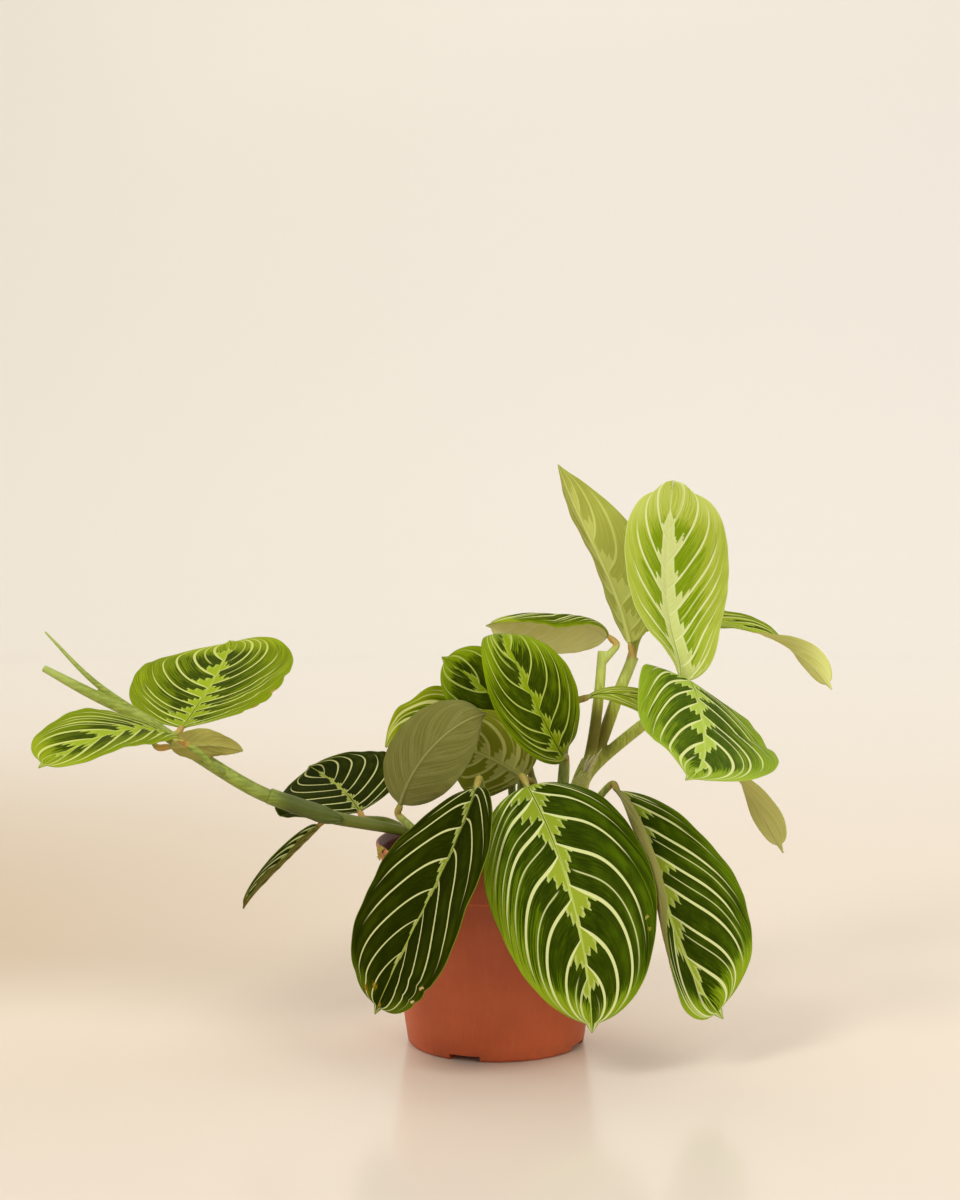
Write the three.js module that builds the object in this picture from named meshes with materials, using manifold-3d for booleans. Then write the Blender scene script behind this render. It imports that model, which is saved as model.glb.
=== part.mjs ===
// Potted prayer plant: arching stems and large oval leaves over a low tapered nursery pot.
// Millimetres, +Z up, the pot's round foot stands on z = 0 with its centre at the origin,
// and the plant's long stem reaches out along -X.
import * as THREE from "three";
import { mergeVertices } from "three/addons/utils/BufferGeometryUtils.js";
import Module from "manifold-3d";

const wasm = await Module();
wasm.setup();

// ---------------------------------------------------------------- driving dimensions
const POT_HEIGHT = 102;
const POT_WALL = 1.4;
const POT_SEGMENTS = 48;
const LIP_RADIUS = 60;
const LIP_HEIGHT = 2.2;
const BAND_TOP_RADIUS = 57.8;
const BAND_FOOT_RADIUS = 56.5;
const BAND_FOOT_Z = 81.5;
const BODY_TOP_RADIUS = 55.6;
const BODY_FOOT_RADIUS = 44.3;
const FOOT_ROUND = 1.3;
const FLOOR_RISE = 3;
const FOOT_RING_INNER = 36;
const HUB_RADIUS = 22;
const FLOOR_TOP = FLOOR_RISE + 1.6;

const NOTCH_COUNT = 4;
const NOTCH_WIDTH = 16;
const NOTCH_FIRST_ANGLE = -111;
const DRAIN_COUNT = 6;
const DRAIN_RADIUS = 4;
const DRAIN_CIRCLE = 29;

const GAP = 0.35;
const SOIL_TOP = 95;
const SOIL_BUMP = 1.5;
const SOIL_SEGMENTS = 32;

const BLADE_THICKNESS = 0.8;
const BLADE_ROWS = 12;
const BLADE_COLUMNS = 3;
const BLADE_SEAT = 0.6;
const RIB_HALF_WIDTH = 1;
const BODY_END = 0.965;
const BEAK = 0.2;
const STEM_SIDES = 8;

const LEAF_GREEN = 0x4a6b1c;
const YOUNG_GREEN = 0xa6bd3c;
const STEM_GREEN = 0x8fa63e;
const POT_BROWN = 0xa75230;
const SOIL_DARK = 0x2a250f;

// ---------------------------------------------------------------- leaves
// rib: base, third, two thirds and tip of the midrib.
// face: which way the upper side looks, at base (and middle) and tip.
// fold and curl: degrees that each half rises from the rib, and bends on its way out,
// given at base, middle and tip; the left half comes first, with the tip held up.
// wave: how far the margin swings, how often, and where it starts. shape: fullness of the
// outline towards base and tip. sides: share of the half width on either side.
// petiole: the leaf stalk from its root up to the blade, when it rises on its own.
const LEAVES = [
  {
    name: "leaf_front_centre",
    rib: [[15, -46, 138], [31, -74, 105], [41, -88, 67], [45, -92, 28]],
    width: 80,
    face: [[0.05, -0.75, 0.65], [0, -0.97, 0.25]],
    fold: [[8, 4, 0], [8, 4, 0]],
    curl: [[-25, -25, -20], [-25, -30, -20]],
    wave: [[1, 2.5, 0], [1, 2.5, 0.3]],
    shape: [0.46, 0.56],
    sides: [1.02, 0.95],
    petiole: [[10, -10, 80], [11, -16, 108], [12, -30, 133]],
  },
  {
    name: "leaf_front_left",
    rib: [[-10, -42, 136], [-24, -68, 105], [-42, -80, 70], [-58, -80, 34]],
    width: 68,
    face: [[-0.3, -0.8, 0.4], [-0.45, -0.9, 0.1]],
    fold: [[50, 45, 30], [8, 5, 5]],
    curl: [[-30, -25, -20], [-15, -20, -20]],
    wave: [[1, 2.5, 0], [1, 2.5, 0.3]],
    shape: [0.6, 0.46],
    sides: [0.95, 0.93],
    petiole: [[-8, -14, 80], [-8, -18, 108], [-7, -28, 131]],
  },
  {
    name: "leaf_front_right",
    rib: [[60, -22, 131], [75, -52, 101], [89, -64, 62], [109, -66, 28]],
    width: 78,
    face: [[0.15, -0.8, 0.6], [0.2, -0.9, 0.2]],
    fold: [[5, 5, 5], [15, 20, 8]],
    curl: [[-20, -20, -20], [150, 120, 0]],
    wave: [[1, 2.5, 0], [1, 2.5, 0.3]],
    shape: [0.7, 0.42],
    sides: [1.0, 0.52],
    petiole: [[30, -14, 80], [38, -13, 104], [50, -13, 125]],
  },
  {
    name: "leaf_centre",
    rib: [[33, -25, 149], [22, -40, 171], [7, -37, 202], [3, -10, 204]],
    width: 46,
    face: [[0.1, -0.95, 0.3], [0.1, -0.9, 0.4], [0, -0.2, 1]],
    fold: [[15, 5, 0], [15, 10, 0]],
    curl: [[-20, -20, -10], [-20, -20, -10]],
    wave: [[1, 2, 0], [1, 2, 0.3]],
    shape: [0.85, 1.05],
    sides: [0.8, 0.93],
    petiole: [[26, -4, 80], [30, -8, 108], [34, -18, 136]],
  },
  {
    name: "leaf_centre_back",
    rib: [[16, -2, 142], [6, 0, 165], [-9, 2, 181], [-27, 4, 194]],
    width: 42,
    face: [[-0.2, -0.85, 0.5], [-0.1, -0.8, 0.6]],
    fold: [[5, 5, 5], [5, 5, 5]],
    curl: [[0, 0, 0], [0, 0, 0]],
    wave: [[1, 2, 0], [1, 2, 0.3]],
    shape: [0.5, 0.5],
    sides: [1, 1],
    petiole: [[16, 4, 80], [19, 2, 108], [19, -1, 130]],
  },
  {
    name: "leaf_left_underside",
    rib: [[-47, -28, 126], [-38, -38, 147], [-23, -42, 164], [-5, -36, 172]],
    width: 48,
    face: [[0.2, 0.95, -0.2], [0.2, 0.95, -0.1]],
    fold: [[10, 5, 5], [10, 5, 5]],
    curl: [[0, 10, 30], [0, 10, 30]],
    wave: [[0.6, 2, 0], [0.6, 2, 0.3]],
    shape: [0.5, 0.55],
    sides: [0.78, 0.76],
    petiole: [[-20, -20, 80], [-30, -24, 102], [-44, -26, 116]],
  },
  {
    name: "leaf_left_wavy",
    rib: [[8, 8, 141], [-14, 10, 160], [-36, 8, 163], [-55, 1, 149]],
    width: 36,
    face: [[0, -0.6, 0.8], [-0.1, -0.6, 0.8]],
    fold: [[15, 15, 15], [15, 15, 15]],
    curl: [[0, 0, 0], [0, 0, 0]],
    wave: [[2, 2, 0], [3, 2, 0.3]],
    shape: [0.5, 0.9],
    sides: [1, 1],
    petiole: [[2, 14, 80], [8, 12, 110], [9, 8, 136]],
  },
  {
    name: "leaf_left_olive",
    rib: [[14, -12, 136], [3, -18, 144], [-10, -18, 150], [-28, -14, 153]],
    width: 46,
    face: [[0, 0.95, 0.2], [0, 0.95, 0.2]],
    fold: [[5, 5, 5], [5, 5, 5]],
    curl: [[0, 0, 0], [0, 0, 0]],
    wave: [[0.6, 2, 0], [0.6, 2, 0.3]],
    shape: [0.5, 0.62],
    sides: [1, 1],
    petiole: [[2, -3, 80], [10, -6, 108], [18, -9, 130]],
  },
  {
    name: "leaf_left_dark",
    rib: [[-68, -6, 118], [-76, 14, 124], [-86, 34, 128], [-96, 50, 131]],
    width: 76,
    face: [[-0.1, -0.65, 0.8], [-0.1, -0.6, 0.8]],
    fold: [[5, 5, 5], [5, 5, 5]],
    curl: [[0, 0, 0], [0, 0, 0]],
    wave: [[1, 2, 0], [1, 2, 0.3]],
    shape: [0.5, 0.62],
    sides: [0.9, 0.8],
  },
  {
    name: "leaf_left_hanging",
    rib: [[-88, -13, 112], [-100, -10, 99], [-116, -8, 82], [-126, -8, 69]],
    width: 17,
    face: [[-0.7, -0.5, 0.5], [-0.7, -0.5, 0.5]],
    fold: [[50, 50, 50], [50, 50, 50]],
    curl: [[0, 0, 0], [0, 0, 0]],
    wave: [[1, 2, 0], [1, 2, 0.3]],
    shape: [0.5, 0.62],
    sides: [1, 0.6],
  },
  {
    name: "leaf_far_upper",
    rib: [[-154, -22, 163], [-146, 6, 174], [-139, 34, 186], [-137, 58, 195]],
    width: 81,
    face: [[-0.2, -0.55, 0.85], [-0.2, -0.55, 0.85]],
    fold: [[5, 5, 5], [5, 5, 5]],
    curl: [[0, 0, 0], [0, 0, 0]],
    wave: [[1, 2, 0], [1, 2, 0.3]],
    shape: [0.5, 0.45],
    sides: [1, 1],
  },
  {
    name: "leaf_far_lower",
    rib: [[-155, -39, 160], [-174, -66, 169], [-194, -91, 166], [-212, -109, 158]],
    width: 60,
    face: [[0.05, -0.12, 1], [-0.1, -0.2, 1]],
    fold: [[0, 0, 5], [13, 13, 13]],
    curl: [[-15, -15, -10], [0, 0, 0]],
    wave: [[1, 2, 0], [1, 2, 0.3]],
    shape: [0.5, 0.38],
    sides: [0.6, 0.82],
  },
  {
    name: "leaf_far_young",
    rib: [[-159, -27, 154], [-148, -28, 155], [-136, -28, 155], [-124, -27, 152]],
    width: 15,
    face: [[0, 0.9, 0.3], [0, 0.9, 0.3]],
    fold: [[5, 5, 5], [5, 5, 5]],
    curl: [[0, 0, 0], [0, 0, 0]],
    wave: [[1, 2, 0], [1, 2, 0.3]],
    shape: [0.6, 0.95],
    sides: [1, 1],
  },
  {
    name: "leaf_top_folded",
    rib: [[67, 13, 200], [57, 22, 231], [44, 26, 258], [31, 16, 289]],
    width: 52,
    face: [[-0.1, 0.95, 0.1], [0.1, 0.95, 0.1]],
    fold: [[5, 5, 5], [60, 60, 50]],
    curl: [[0, 0, 0], [20, 20, 20]],
    wave: [[0.6, 2, 0], [0.6, 2, 0.3]],
    shape: [0.6, 0.95],
    sides: [0.85, 0.5],
  },
  {
    name: "leaf_top_bright",
    rib: [[92.5, 9, 181], [89.5, 11, 199], [85.5, 13, 222], [87.5, 8, 280]],
    width: 60,
    face: [[0.1, -0.95, 0.3], [0.1, -0.9, 0.3]],
    fold: [[70, 38, 0], [5, 5, 5]],
    curl: [[10, -10, 0], [0, -20, -20]],
    wave: [[0.6, 2, 0], [0.6, 2, 0.3]],
    shape: [0.5, 0.36],
    sides: [0.8, 1.04],
  },
  {
    name: "leaf_right_back",
    rib: [[80, 27, 207], [106, 34, 209], [141, 38, 199], [171, 36, 173]],
    width: 29,
    face: [[0.1, -0.5, 0.85], [0.15, -0.25, 0.92], [0.5, 0.95, 0.3]],
    fold: [[5, 5, 5], [5, 5, 5]],
    curl: [[0, 20, 20], [0, 20, 60]],
    wave: [[0.6, 2, 0], [0.6, 2, 0.3]],
    shape: [0.7, 0.5],
    sides: [0.72, 0.8],
  },
  {
    name: "leaf_right_cupped",
    rib: [[95, -14, 179], [96, -36, 184], [99, -66, 164], [88, -96, 150]],
    width: 74,
    face: [[0.6, 0.1, 0.8], [0.6, -0.35, 0.7], [0.1, -0.5, 0.85]],
    fold: [[0, 5, 25], [-10, -20, 25]],
    curl: [[0, 0, 0], [-10, -10, 0]],
    wave: [[0.6, 2, 0], [0.6, 2, 0.3]],
    shape: [0.45, 0.42],
    sides: [1.02, 0.85],
  },
  {
    name: "leaf_right_low",
    rib: [[46, -14, 177], [74, -15, 174], [110, -11, 147], [143, -6, 97]],
    width: 27,
    face: [[0, -0.85, 0.5], [0.2, -0.4, 0.88], [0.6, 0.8, 0.1]],
    fold: [[0, 0, 5], [0, 10, 5]],
    curl: [[0, 40, -30], [0, 40, -10]],
    wave: [[0.6, 2, 0], [0.6, 2, 0.3]],
    shape: [0.9, 0.5],
    sides: [0.75, 1.0],
    petiole: [[30, 10, 80], [31, 2, 110], [34, -9, 150], [38, -14, 171]],
  },
  {
    name: "leaf_top_left",
    rib: [[56, 9, 204], [40, 12, 211], [17, 8, 213], [-5, 2, 210]],
    width: 48,
    face: [[0, 0.9, 0.25], [0, 0.9, 0.25]],
    fold: [[-20, -35, -20], [5, 5, 5]],
    curl: [[-85, -92, -90], [0, 0, 0]],
    wave: [[0.6, 2, 0], [0.6, 2, 0.3]],
    shape: [0.5, 0.5],
    sides: [0.82, 0.8],
  },
];

// ---------------------------------------------------------------- stems
// Each stem is the union of its runs: [x, y, z, radius] along each run.
// A run that ends at a leaf names it, and meets the blade's base in line with the rib.
const STEMS = [
  {
    name: "stem_left",
    runs: [
      [[-8, -6, 82, 2.4], [-24, -10, 100, 2.4], [-45, -13, 109, 2.5], [-65, -15, 113.5, 3],
        [-83, -16, 117.5, 3.5], [-115, -18, 129, 3.6], [-146, -20, 148, 3.4], [-175, -20, 168, 3]],
      [[-172, -20, 166, 2.8], [-200, -20, 180, 2.7], [-222, -20, 192, 1.8]],
      [[-166, -20, 163, 2], [-197, -20, 185, 1.5], [-221, -20, 210, 0.6]],
    ],
    leaves: [
      { leaf: "leaf_left_dark", run: [[-40, -12.5, 107.5, 1.8], [-54, -10, 114, 1.7]] },
      { leaf: "leaf_left_hanging", run: [[-83, -16, 117, 1.8]] },
      { leaf: "leaf_far_upper", run: [[-160, -20, 158.5, 1.8], [-158, -29, 160.5, 1.6]] },
      {
        leaf: "leaf_far_lower",
        run: [[-134, -19, 140, 1.8], [-137, -31, 143, 1.8], [-144, -35, 152, 1.8]],
      },
      { leaf: "leaf_far_young", run: [[-166, -20, 162, 1.5], [-168, -25, 156, 1.2]] },
    ],
  },
  {
    name: "stem_right",
    runs: [
      [[36, 8, 80, 4], [39, 6, 110, 4.2], [42, 4, 130, 4.4], [46, 4, 142, 3.4]],
      [[41, 3, 126, 3], [47, 2, 145, 3], [51, 3, 173, 2.7], [53, 5, 197, 2.4]],
      [[42, 5, 128, 3.2], [52, 8, 149, 3.2], [62, 12, 176, 3.1], [69, 14, 193, 2.8]],
      [[41, 4, 124, 3.2], [47, 6, 136, 3.1], [78, 13, 162, 3], [90, 12, 172, 2.6]],
    ],
    leaves: [
      { leaf: "leaf_top_left", run: [[52.5, 4.5, 191, 2.2], [57, 4, 196, 1.9]] },
      { leaf: "leaf_top_folded", run: [[64, 12.5, 181, 2], [68, 11.5, 190, 1.8]] },
      { leaf: "leaf_right_back", run: [[67, 13.5, 189, 2.6], [71, 21, 201, 2]] },
      { leaf: "leaf_top_bright", run: [[88, 12, 170.5, 2.4]] },
      { leaf: "leaf_right_cupped", run: [[86, 12, 169, 2], [92, 3, 176, 1.8]] },
    ],
  },
];

// ---------------------------------------------------------------- helpers
const vec = (p) => new THREE.Vector3(p[0], p[1], p[2]);
const clamp01 = (x) => Math.min(1, Math.max(0, x));
const radians = THREE.MathUtils.degToRad;

// A value given at base, middle and tip, at u along the rib.
function along(values, u) {
  const [base, middle, tip] = values;
  return u < 0.5 ? base + (middle - base) * 2 * u : middle + (tip - middle) * (2 * u - 1);
}

// Half width along the rib as a share of the widest: an oval with a short drawn-out tip.
function outline(u, [towardsBase, towardsTip]) {
  const x = clamp01(u / BODY_END);
  const peak = towardsBase / (towardsBase + towardsTip);
  const full = peak ** towardsBase * (1 - peak) ** towardsTip;
  const body = (x ** towardsBase * (1 - x) ** towardsTip) / full;
  const point = BEAK * clamp01((1 - u) / 0.12) * clamp01(x * 3);
  return Math.cbrt(body ** 3 + point ** 3);
}

// Bezier through the rib's four given points.
function ribCurve(points) {
  const [p0, q1, q2, p3] = points.map(vec);
  const mix = (a, b, c, d) =>
    new THREE.Vector3()
      .addScaledVector(p0, a / 6)
      .addScaledVector(q1, b / 6)
      .addScaledVector(q2, c / 6)
      .addScaledVector(p3, d / 6);
  return new THREE.CubicBezierCurve3(p0, mix(-5, 18, -9, 2), mix(2, -9, 18, -5), p3);
}

function faceAt(leaf, u) {
  const dirs = leaf.face.map((f) => vec(f).normalize());
  if (dirs.length === 2) return dirs[0].clone().lerp(dirs[1], u);
  return u < 0.5
    ? dirs[0].clone().lerp(dirs[1], 2 * u)
    : dirs[1].clone().lerp(dirs[2], 2 * u - 1);
}

// Point of the blade's middle surface, u from base to tip, v from the left margin -1 to +1.
function bladePoint(leaf, curve, u, v) {
  const rib = curve.getPointAt(u);
  const ahead = curve.getTangentAt(u).normalize();
  const face = faceAt(leaf, u);
  const up = face.addScaledVector(ahead, -face.dot(ahead)).normalize();
  const across = new THREE.Vector3().crossVectors(ahead, up);
  const side = v < 0 ? 0 : 1;
  const reach = Math.abs(v);
  const half =
    (leaf.width / 2) * outline(u, leaf.shape) * leaf.sides[side] + RIB_HALF_WIDTH;
  const fold = radians(along(leaf.fold[side], u));
  let curl = radians(along(leaf.curl[side], u));
  if (Math.abs(curl) < 1e-3) curl = 1e-3;
  const bent = fold + curl * reach;
  let out = (half / curl) * (Math.sin(bent) - Math.sin(fold));
  let rise = (half / curl) * (Math.cos(fold) - Math.cos(bent));
  const [swing, count, start] = leaf.wave[side];
  const wave =
    swing * reach ** 2.5 * Math.sin(2 * Math.PI * (count * u + start)) *
    Math.sqrt(Math.max(0, Math.sin(Math.PI * u)));
  out -= wave * Math.sin(bent);
  rise += wave * Math.cos(bent);
  return rib.addScaledVector(across, Math.sign(v) * out).addScaledVector(up, rise);
}

// A thin closed blade: both faces split alike, joined round the margin.
function bladeGeometry(leaf) {
  const curve = ribCurve(leaf.rib);
  const rows = BLADE_ROWS;
  const columns = 2 * BLADE_COLUMNS;
  const middle = [];
  for (let i = 0; i <= rows; i++) {
    const t = i / rows;
    const u = 0.5 * t + 0.25 * (1 - Math.cos(Math.PI * t));
    for (let j = 0; j <= columns; j++)
      middle.push(bladePoint(leaf, curve, u, j / BLADE_COLUMNS - 1));
  }
  const at = (i, j) => i * (columns + 1) + j;
  const count = middle.length;
  const normals = middle.map(() => new THREE.Vector3());
  const cells = [];
  for (let i = 0; i < rows; i++)
    for (let j = 0; j < columns; j++) {
      cells.push([at(i, j), at(i, j + 1), at(i + 1, j)]);
      cells.push([at(i, j + 1), at(i + 1, j + 1), at(i + 1, j)]);
    }
  for (const [a, b, c] of cells) {
    const ab = middle[b].clone().sub(middle[a]);
    const ac = middle[c].clone().sub(middle[a]);
    const n = ab.cross(ac).normalize();
    for (const k of [a, b, c]) normals[k].add(n);
  }
  const positions = [];
  for (const sign of [1, -1])
    middle.forEach((p, k) => {
      const q = p.clone().addScaledVector(normals[k].normalize(), (sign * BLADE_THICKNESS) / 2);
      positions.push(q.x, q.y, q.z);
    });
  const index = [];
  for (const [a, b, c] of cells) index.push(a, b, c, a + count, c + count, b + count);
  const rim = [];
  for (let i = 0; i < rows; i++) rim.push([at(i, 0), at(i + 1, 0)]);
  for (let j = 0; j < columns; j++) rim.push([at(rows, j), at(rows, j + 1)]);
  for (let i = rows; i > 0; i--) rim.push([at(i, columns), at(i - 1, columns)]);
  for (let j = columns; j > 0; j--) rim.push([at(0, j), at(0, j - 1)]);
  for (const [a, b] of rim) index.push(a, b, b + count, a, b + count, a + count);
  const geometry = new THREE.BufferGeometry();
  geometry.setAttribute("position", new THREE.Float32BufferAttribute(positions, 3));
  geometry.setIndex(index);
  return geometry;
}

// A closed round run with its own radius at each point; grow widens it on all sides.
function runGeometry(run, grow = 0, spacing = 9) {
  const centres = run.map(vec);
  if (grow > 0) {
    const back = centres[0].clone().sub(centres[1]).normalize();
    centres[0].addScaledVector(back, grow);
  }
  const curve = new THREE.CatmullRomCurve3(centres, false, "centripetal");
  const rings = Math.max(2, Math.round(curve.getLength() / spacing));
  const frames = curve.computeFrenetFrames(rings, false);
  const reach = [0];
  for (let k = 1; k < run.length; k++)
    reach.push(reach[k - 1] + centres[k].distanceTo(centres[k - 1]));
  const radiusAt = (t) => {
    const s = t * reach[reach.length - 1];
    let k = 1;
    while (k < reach.length - 1 && s > reach[k]) k++;
    const f = (s - reach[k - 1]) / (reach[k] - reach[k - 1]);
    return run[k - 1][3] + (run[k][3] - run[k - 1][3]) * f + grow;
  };
  const positions = [];
  const index = [];
  for (let i = 0; i <= rings; i++) {
    const centre = curve.getPointAt(i / rings);
    const radius = radiusAt(i / rings);
    for (let k = 0; k < STEM_SIDES; k++) {
      const a = (2 * Math.PI * k) / STEM_SIDES;
      const p = centre
        .clone()
        .addScaledVector(frames.normals[i], radius * Math.cos(a))
        .addScaledVector(frames.binormals[i], radius * Math.sin(a));
      positions.push(p.x, p.y, p.z);
    }
  }
  const ends = [curve.getPointAt(0), curve.getPointAt(1)];
  for (const p of ends) positions.push(p.x, p.y, p.z);
  const first = (rings + 1) * STEM_SIDES;
  for (let k = 0; k < STEM_SIDES; k++) {
    const next = (k + 1) % STEM_SIDES;
    for (let i = 0; i < rings; i++) {
      const a = i * STEM_SIDES;
      const b = a + STEM_SIDES;
      index.push(a + k, a + next, b + next, a + k, b + next, b + k);
    }
    index.push(first, next, k);
    index.push(first + 1, rings * STEM_SIDES + k, rings * STEM_SIDES + next);
  }
  const geometry = new THREE.BufferGeometry();
  geometry.setAttribute("position", new THREE.Float32BufferAttribute(positions, 3));
  geometry.setIndex(index);
  return geometry;
}

// The stalk's last stretch: a swollen joint in line with the rib, just short of the blade.
function jointEnd(leaf) {
  const curve = ribCurve(leaf.rib);
  const base = curve.getPointAt(0);
  const ahead = curve.getTangentAt(0).normalize();
  const behind = (distance, radius) => {
    const p = base.clone().addScaledVector(ahead, -distance);
    return [p.x, p.y, p.z, radius];
  };
  return [behind(BLADE_SEAT + 6, 1.7), behind(BLADE_SEAT + 2, 1.7), behind(BLADE_SEAT, 1.2)];
}

function solid(geometry) {
  const bare = geometry.clone();
  bare.deleteAttribute("normal");
  bare.deleteAttribute("uv");
  const merged = mergeVertices(bare, 1e-4);
  return new wasm.Manifold(
    new wasm.Mesh({
      numProp: 3,
      vertProperties: new Float32Array(merged.attributes.position.array),
      triVerts: new Uint32Array(merged.index.array),
    }),
  );
}

function geometryOf(manifold) {
  const mesh = manifold.getMesh();
  const geometry = new THREE.BufferGeometry();
  geometry.setAttribute("position", new THREE.BufferAttribute(mesh.vertProperties, 3));
  geometry.setIndex(new THREE.BufferAttribute(mesh.triVerts, 1));
  return geometry;
}

const group = new THREE.Group();

function piece(name, geometry, color, roughness) {
  const shaded = geometry.toNonIndexed();
  shaded.computeVertexNormals();
  const material = new THREE.MeshStandardMaterial({ color, roughness, metalness: 0 });
  const mesh = new THREE.Mesh(shaded, material);
  mesh.name = name;
  group.add(mesh);
}

// ---------------------------------------------------------------- pot
const lathe = (profile, segments) =>
  new THREE.LatheGeometry(
    profile.map(([r, z]) => new THREE.Vector2(r, z)),
    segments,
  ).rotateX(Math.PI / 2);

const potProfile = [
  [0, 0],
  [HUB_RADIUS, 0],
  [HUB_RADIUS + 0.6, FLOOR_RISE],
  [FOOT_RING_INNER - 0.6, FLOOR_RISE],
  [FOOT_RING_INNER, 0],
  [BODY_FOOT_RADIUS - FOOT_ROUND, 0],
  [BODY_FOOT_RADIUS, FOOT_ROUND],
  [BODY_TOP_RADIUS, BAND_FOOT_Z - 0.6],
  [BAND_FOOT_RADIUS, BAND_FOOT_Z],
  [BAND_TOP_RADIUS, POT_HEIGHT - LIP_HEIGHT - 1],
  [LIP_RADIUS, POT_HEIGHT - LIP_HEIGHT],
  [LIP_RADIUS, POT_HEIGHT - 0.5],
  [LIP_RADIUS - 0.5, POT_HEIGHT],
  [LIP_RADIUS - POT_WALL, POT_HEIGHT],
  [BAND_TOP_RADIUS - POT_WALL, POT_HEIGHT - LIP_HEIGHT - 1.4],
  [BAND_FOOT_RADIUS - POT_WALL, BAND_FOOT_Z],
  [BODY_TOP_RADIUS - POT_WALL, BAND_FOOT_Z - 1],
  [BODY_FOOT_RADIUS - 1, FLOOR_TOP],
  [0, FLOOR_TOP],
];

// A lathe turned from +Y to +Z has its faces the right way out for a profile that runs
// outwards along the foot first.
let pot = solid(lathe(potProfile, POT_SEGMENTS));
for (let k = 0; k < NOTCH_COUNT; k++) {
  const angle = radians(NOTCH_FIRST_ANGLE + (360 / NOTCH_COUNT) * k);
  const notch = new THREE.BoxGeometry(16, NOTCH_WIDTH, 2 * FLOOR_RISE)
    .translate(42, 0, 0)
    .rotateZ(angle);
  pot = pot.subtract(solid(notch));
}
for (let k = 0; k < DRAIN_COUNT; k++) {
  const angle = radians(30 + (360 / DRAIN_COUNT) * k);
  const drain = new THREE.CylinderGeometry(DRAIN_RADIUS, DRAIN_RADIUS, 6, 16)
    .rotateX(Math.PI / 2)
    .translate(DRAIN_CIRCLE * Math.cos(angle), DRAIN_CIRCLE * Math.sin(angle), 4);
  pot = pot.subtract(solid(drain));
}
piece("pot", geometryOf(pot), POT_BROWN, 0.5);

// ---------------------------------------------------------------- stems and stalks
const leafNamed = (name) => LEAVES.find((leaf) => leaf.name === name);
const planted = [];

for (const stem of STEMS) {
  const runs = [...stem.runs];
  for (const { leaf, run } of stem.leaves) runs.push([...run, ...jointEnd(leafNamed(leaf))]);
  let body = null;
  for (const run of runs) {
    const tube = solid(runGeometry(run));
    body = body ? body.add(tube) : tube;
  }
  piece(stem.name, geometryOf(body), STEM_GREEN, 0.45);
  planted.push(stem.runs[0]);
}

for (const leaf of LEAVES) {
  if (!leaf.petiole) continue;
  const stalk = leaf.petiole.map(([x, y, z]) => [x, y, z, 1.9]);
  const run = [...stalk, ...jointEnd(leaf)];
  piece(leaf.name.replace("leaf", "petiole"), runGeometry(run), STEM_GREEN, 0.45);
  planted.push(run);
}

// ---------------------------------------------------------------- soil
const innerRadius = (z) => {
  const t = clamp01((z - FLOOR_TOP) / (BAND_FOOT_Z - 1 - FLOOR_TOP));
  const low = BODY_FOOT_RADIUS - 1 + t * (BODY_TOP_RADIUS - POT_WALL - BODY_FOOT_RADIUS + 1);
  return low - GAP;
};
const soilProfile = [
  [0, FLOOR_TOP + GAP],
  [innerRadius(FLOOR_TOP) - 0.5, FLOOR_TOP + GAP],
  [innerRadius(BAND_FOOT_Z - 3), BAND_FOOT_Z - 3],
  [innerRadius(BAND_FOOT_Z) + 0.2, SOIL_TOP - 3],
  [50, SOIL_TOP],
  [40, SOIL_TOP],
  [28, SOIL_TOP],
  [15, SOIL_TOP],
  [0, SOIL_TOP],
];
const soilGeometry = lathe(soilProfile, SOIL_SEGMENTS);
const soilPositions = soilGeometry.attributes.position;
for (let k = 0; k < soilPositions.count; k++) {
  const x = soilPositions.getX(k);
  const y = soilPositions.getY(k);
  if (soilPositions.getZ(k) < SOIL_TOP - 0.5) continue;
  const bump = Math.sin(0.23 * x + 1.1) * Math.cos(0.19 * y - 0.4) + 0.4 * Math.sin(0.5 * (x + y));
  soilPositions.setZ(k, SOIL_TOP + SOIL_BUMP * bump);
}
let soil = solid(soilGeometry);
for (const run of planted) soil = soil.subtract(solid(runGeometry(run, GAP)));
piece("soil", geometryOf(soil), SOIL_DARK, 0.95);

// ---------------------------------------------------------------- blades
const YOUNG = ["leaf_top_bright", "leaf_top_folded", "leaf_far_young"];
for (const leaf of LEAVES) {
  const color = YOUNG.includes(leaf.name) ? YOUNG_GREEN : LEAF_GREEN;
  piece(leaf.name, bladeGeometry(leaf), color, 0.5);
}

export default group;
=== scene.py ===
"""Looks of a potted prayer plant: large oval veined leaves on arching stems in a nursery pot.

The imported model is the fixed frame. Every blade, stem and stalk, the pot and the soil are built
again here as finer pieces of the same form, from the same dimensions, in millimetres.
"""

import math
import random
from types import SimpleNamespace

import bmesh
import bpy
import numpy as np
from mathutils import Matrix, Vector, noise

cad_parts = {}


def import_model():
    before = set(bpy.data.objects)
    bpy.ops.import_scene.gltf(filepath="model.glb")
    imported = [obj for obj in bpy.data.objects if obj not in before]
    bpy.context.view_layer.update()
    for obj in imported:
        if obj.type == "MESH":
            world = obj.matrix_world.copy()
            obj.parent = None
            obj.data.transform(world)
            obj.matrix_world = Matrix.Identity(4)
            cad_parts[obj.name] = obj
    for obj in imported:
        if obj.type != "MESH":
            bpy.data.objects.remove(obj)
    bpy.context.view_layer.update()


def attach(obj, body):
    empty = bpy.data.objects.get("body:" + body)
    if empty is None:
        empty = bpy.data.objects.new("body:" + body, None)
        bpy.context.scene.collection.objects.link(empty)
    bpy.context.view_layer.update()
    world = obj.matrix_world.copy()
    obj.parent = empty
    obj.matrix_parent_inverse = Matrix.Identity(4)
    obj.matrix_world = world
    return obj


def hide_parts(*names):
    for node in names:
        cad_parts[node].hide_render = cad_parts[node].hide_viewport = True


MM = 0.001

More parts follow.
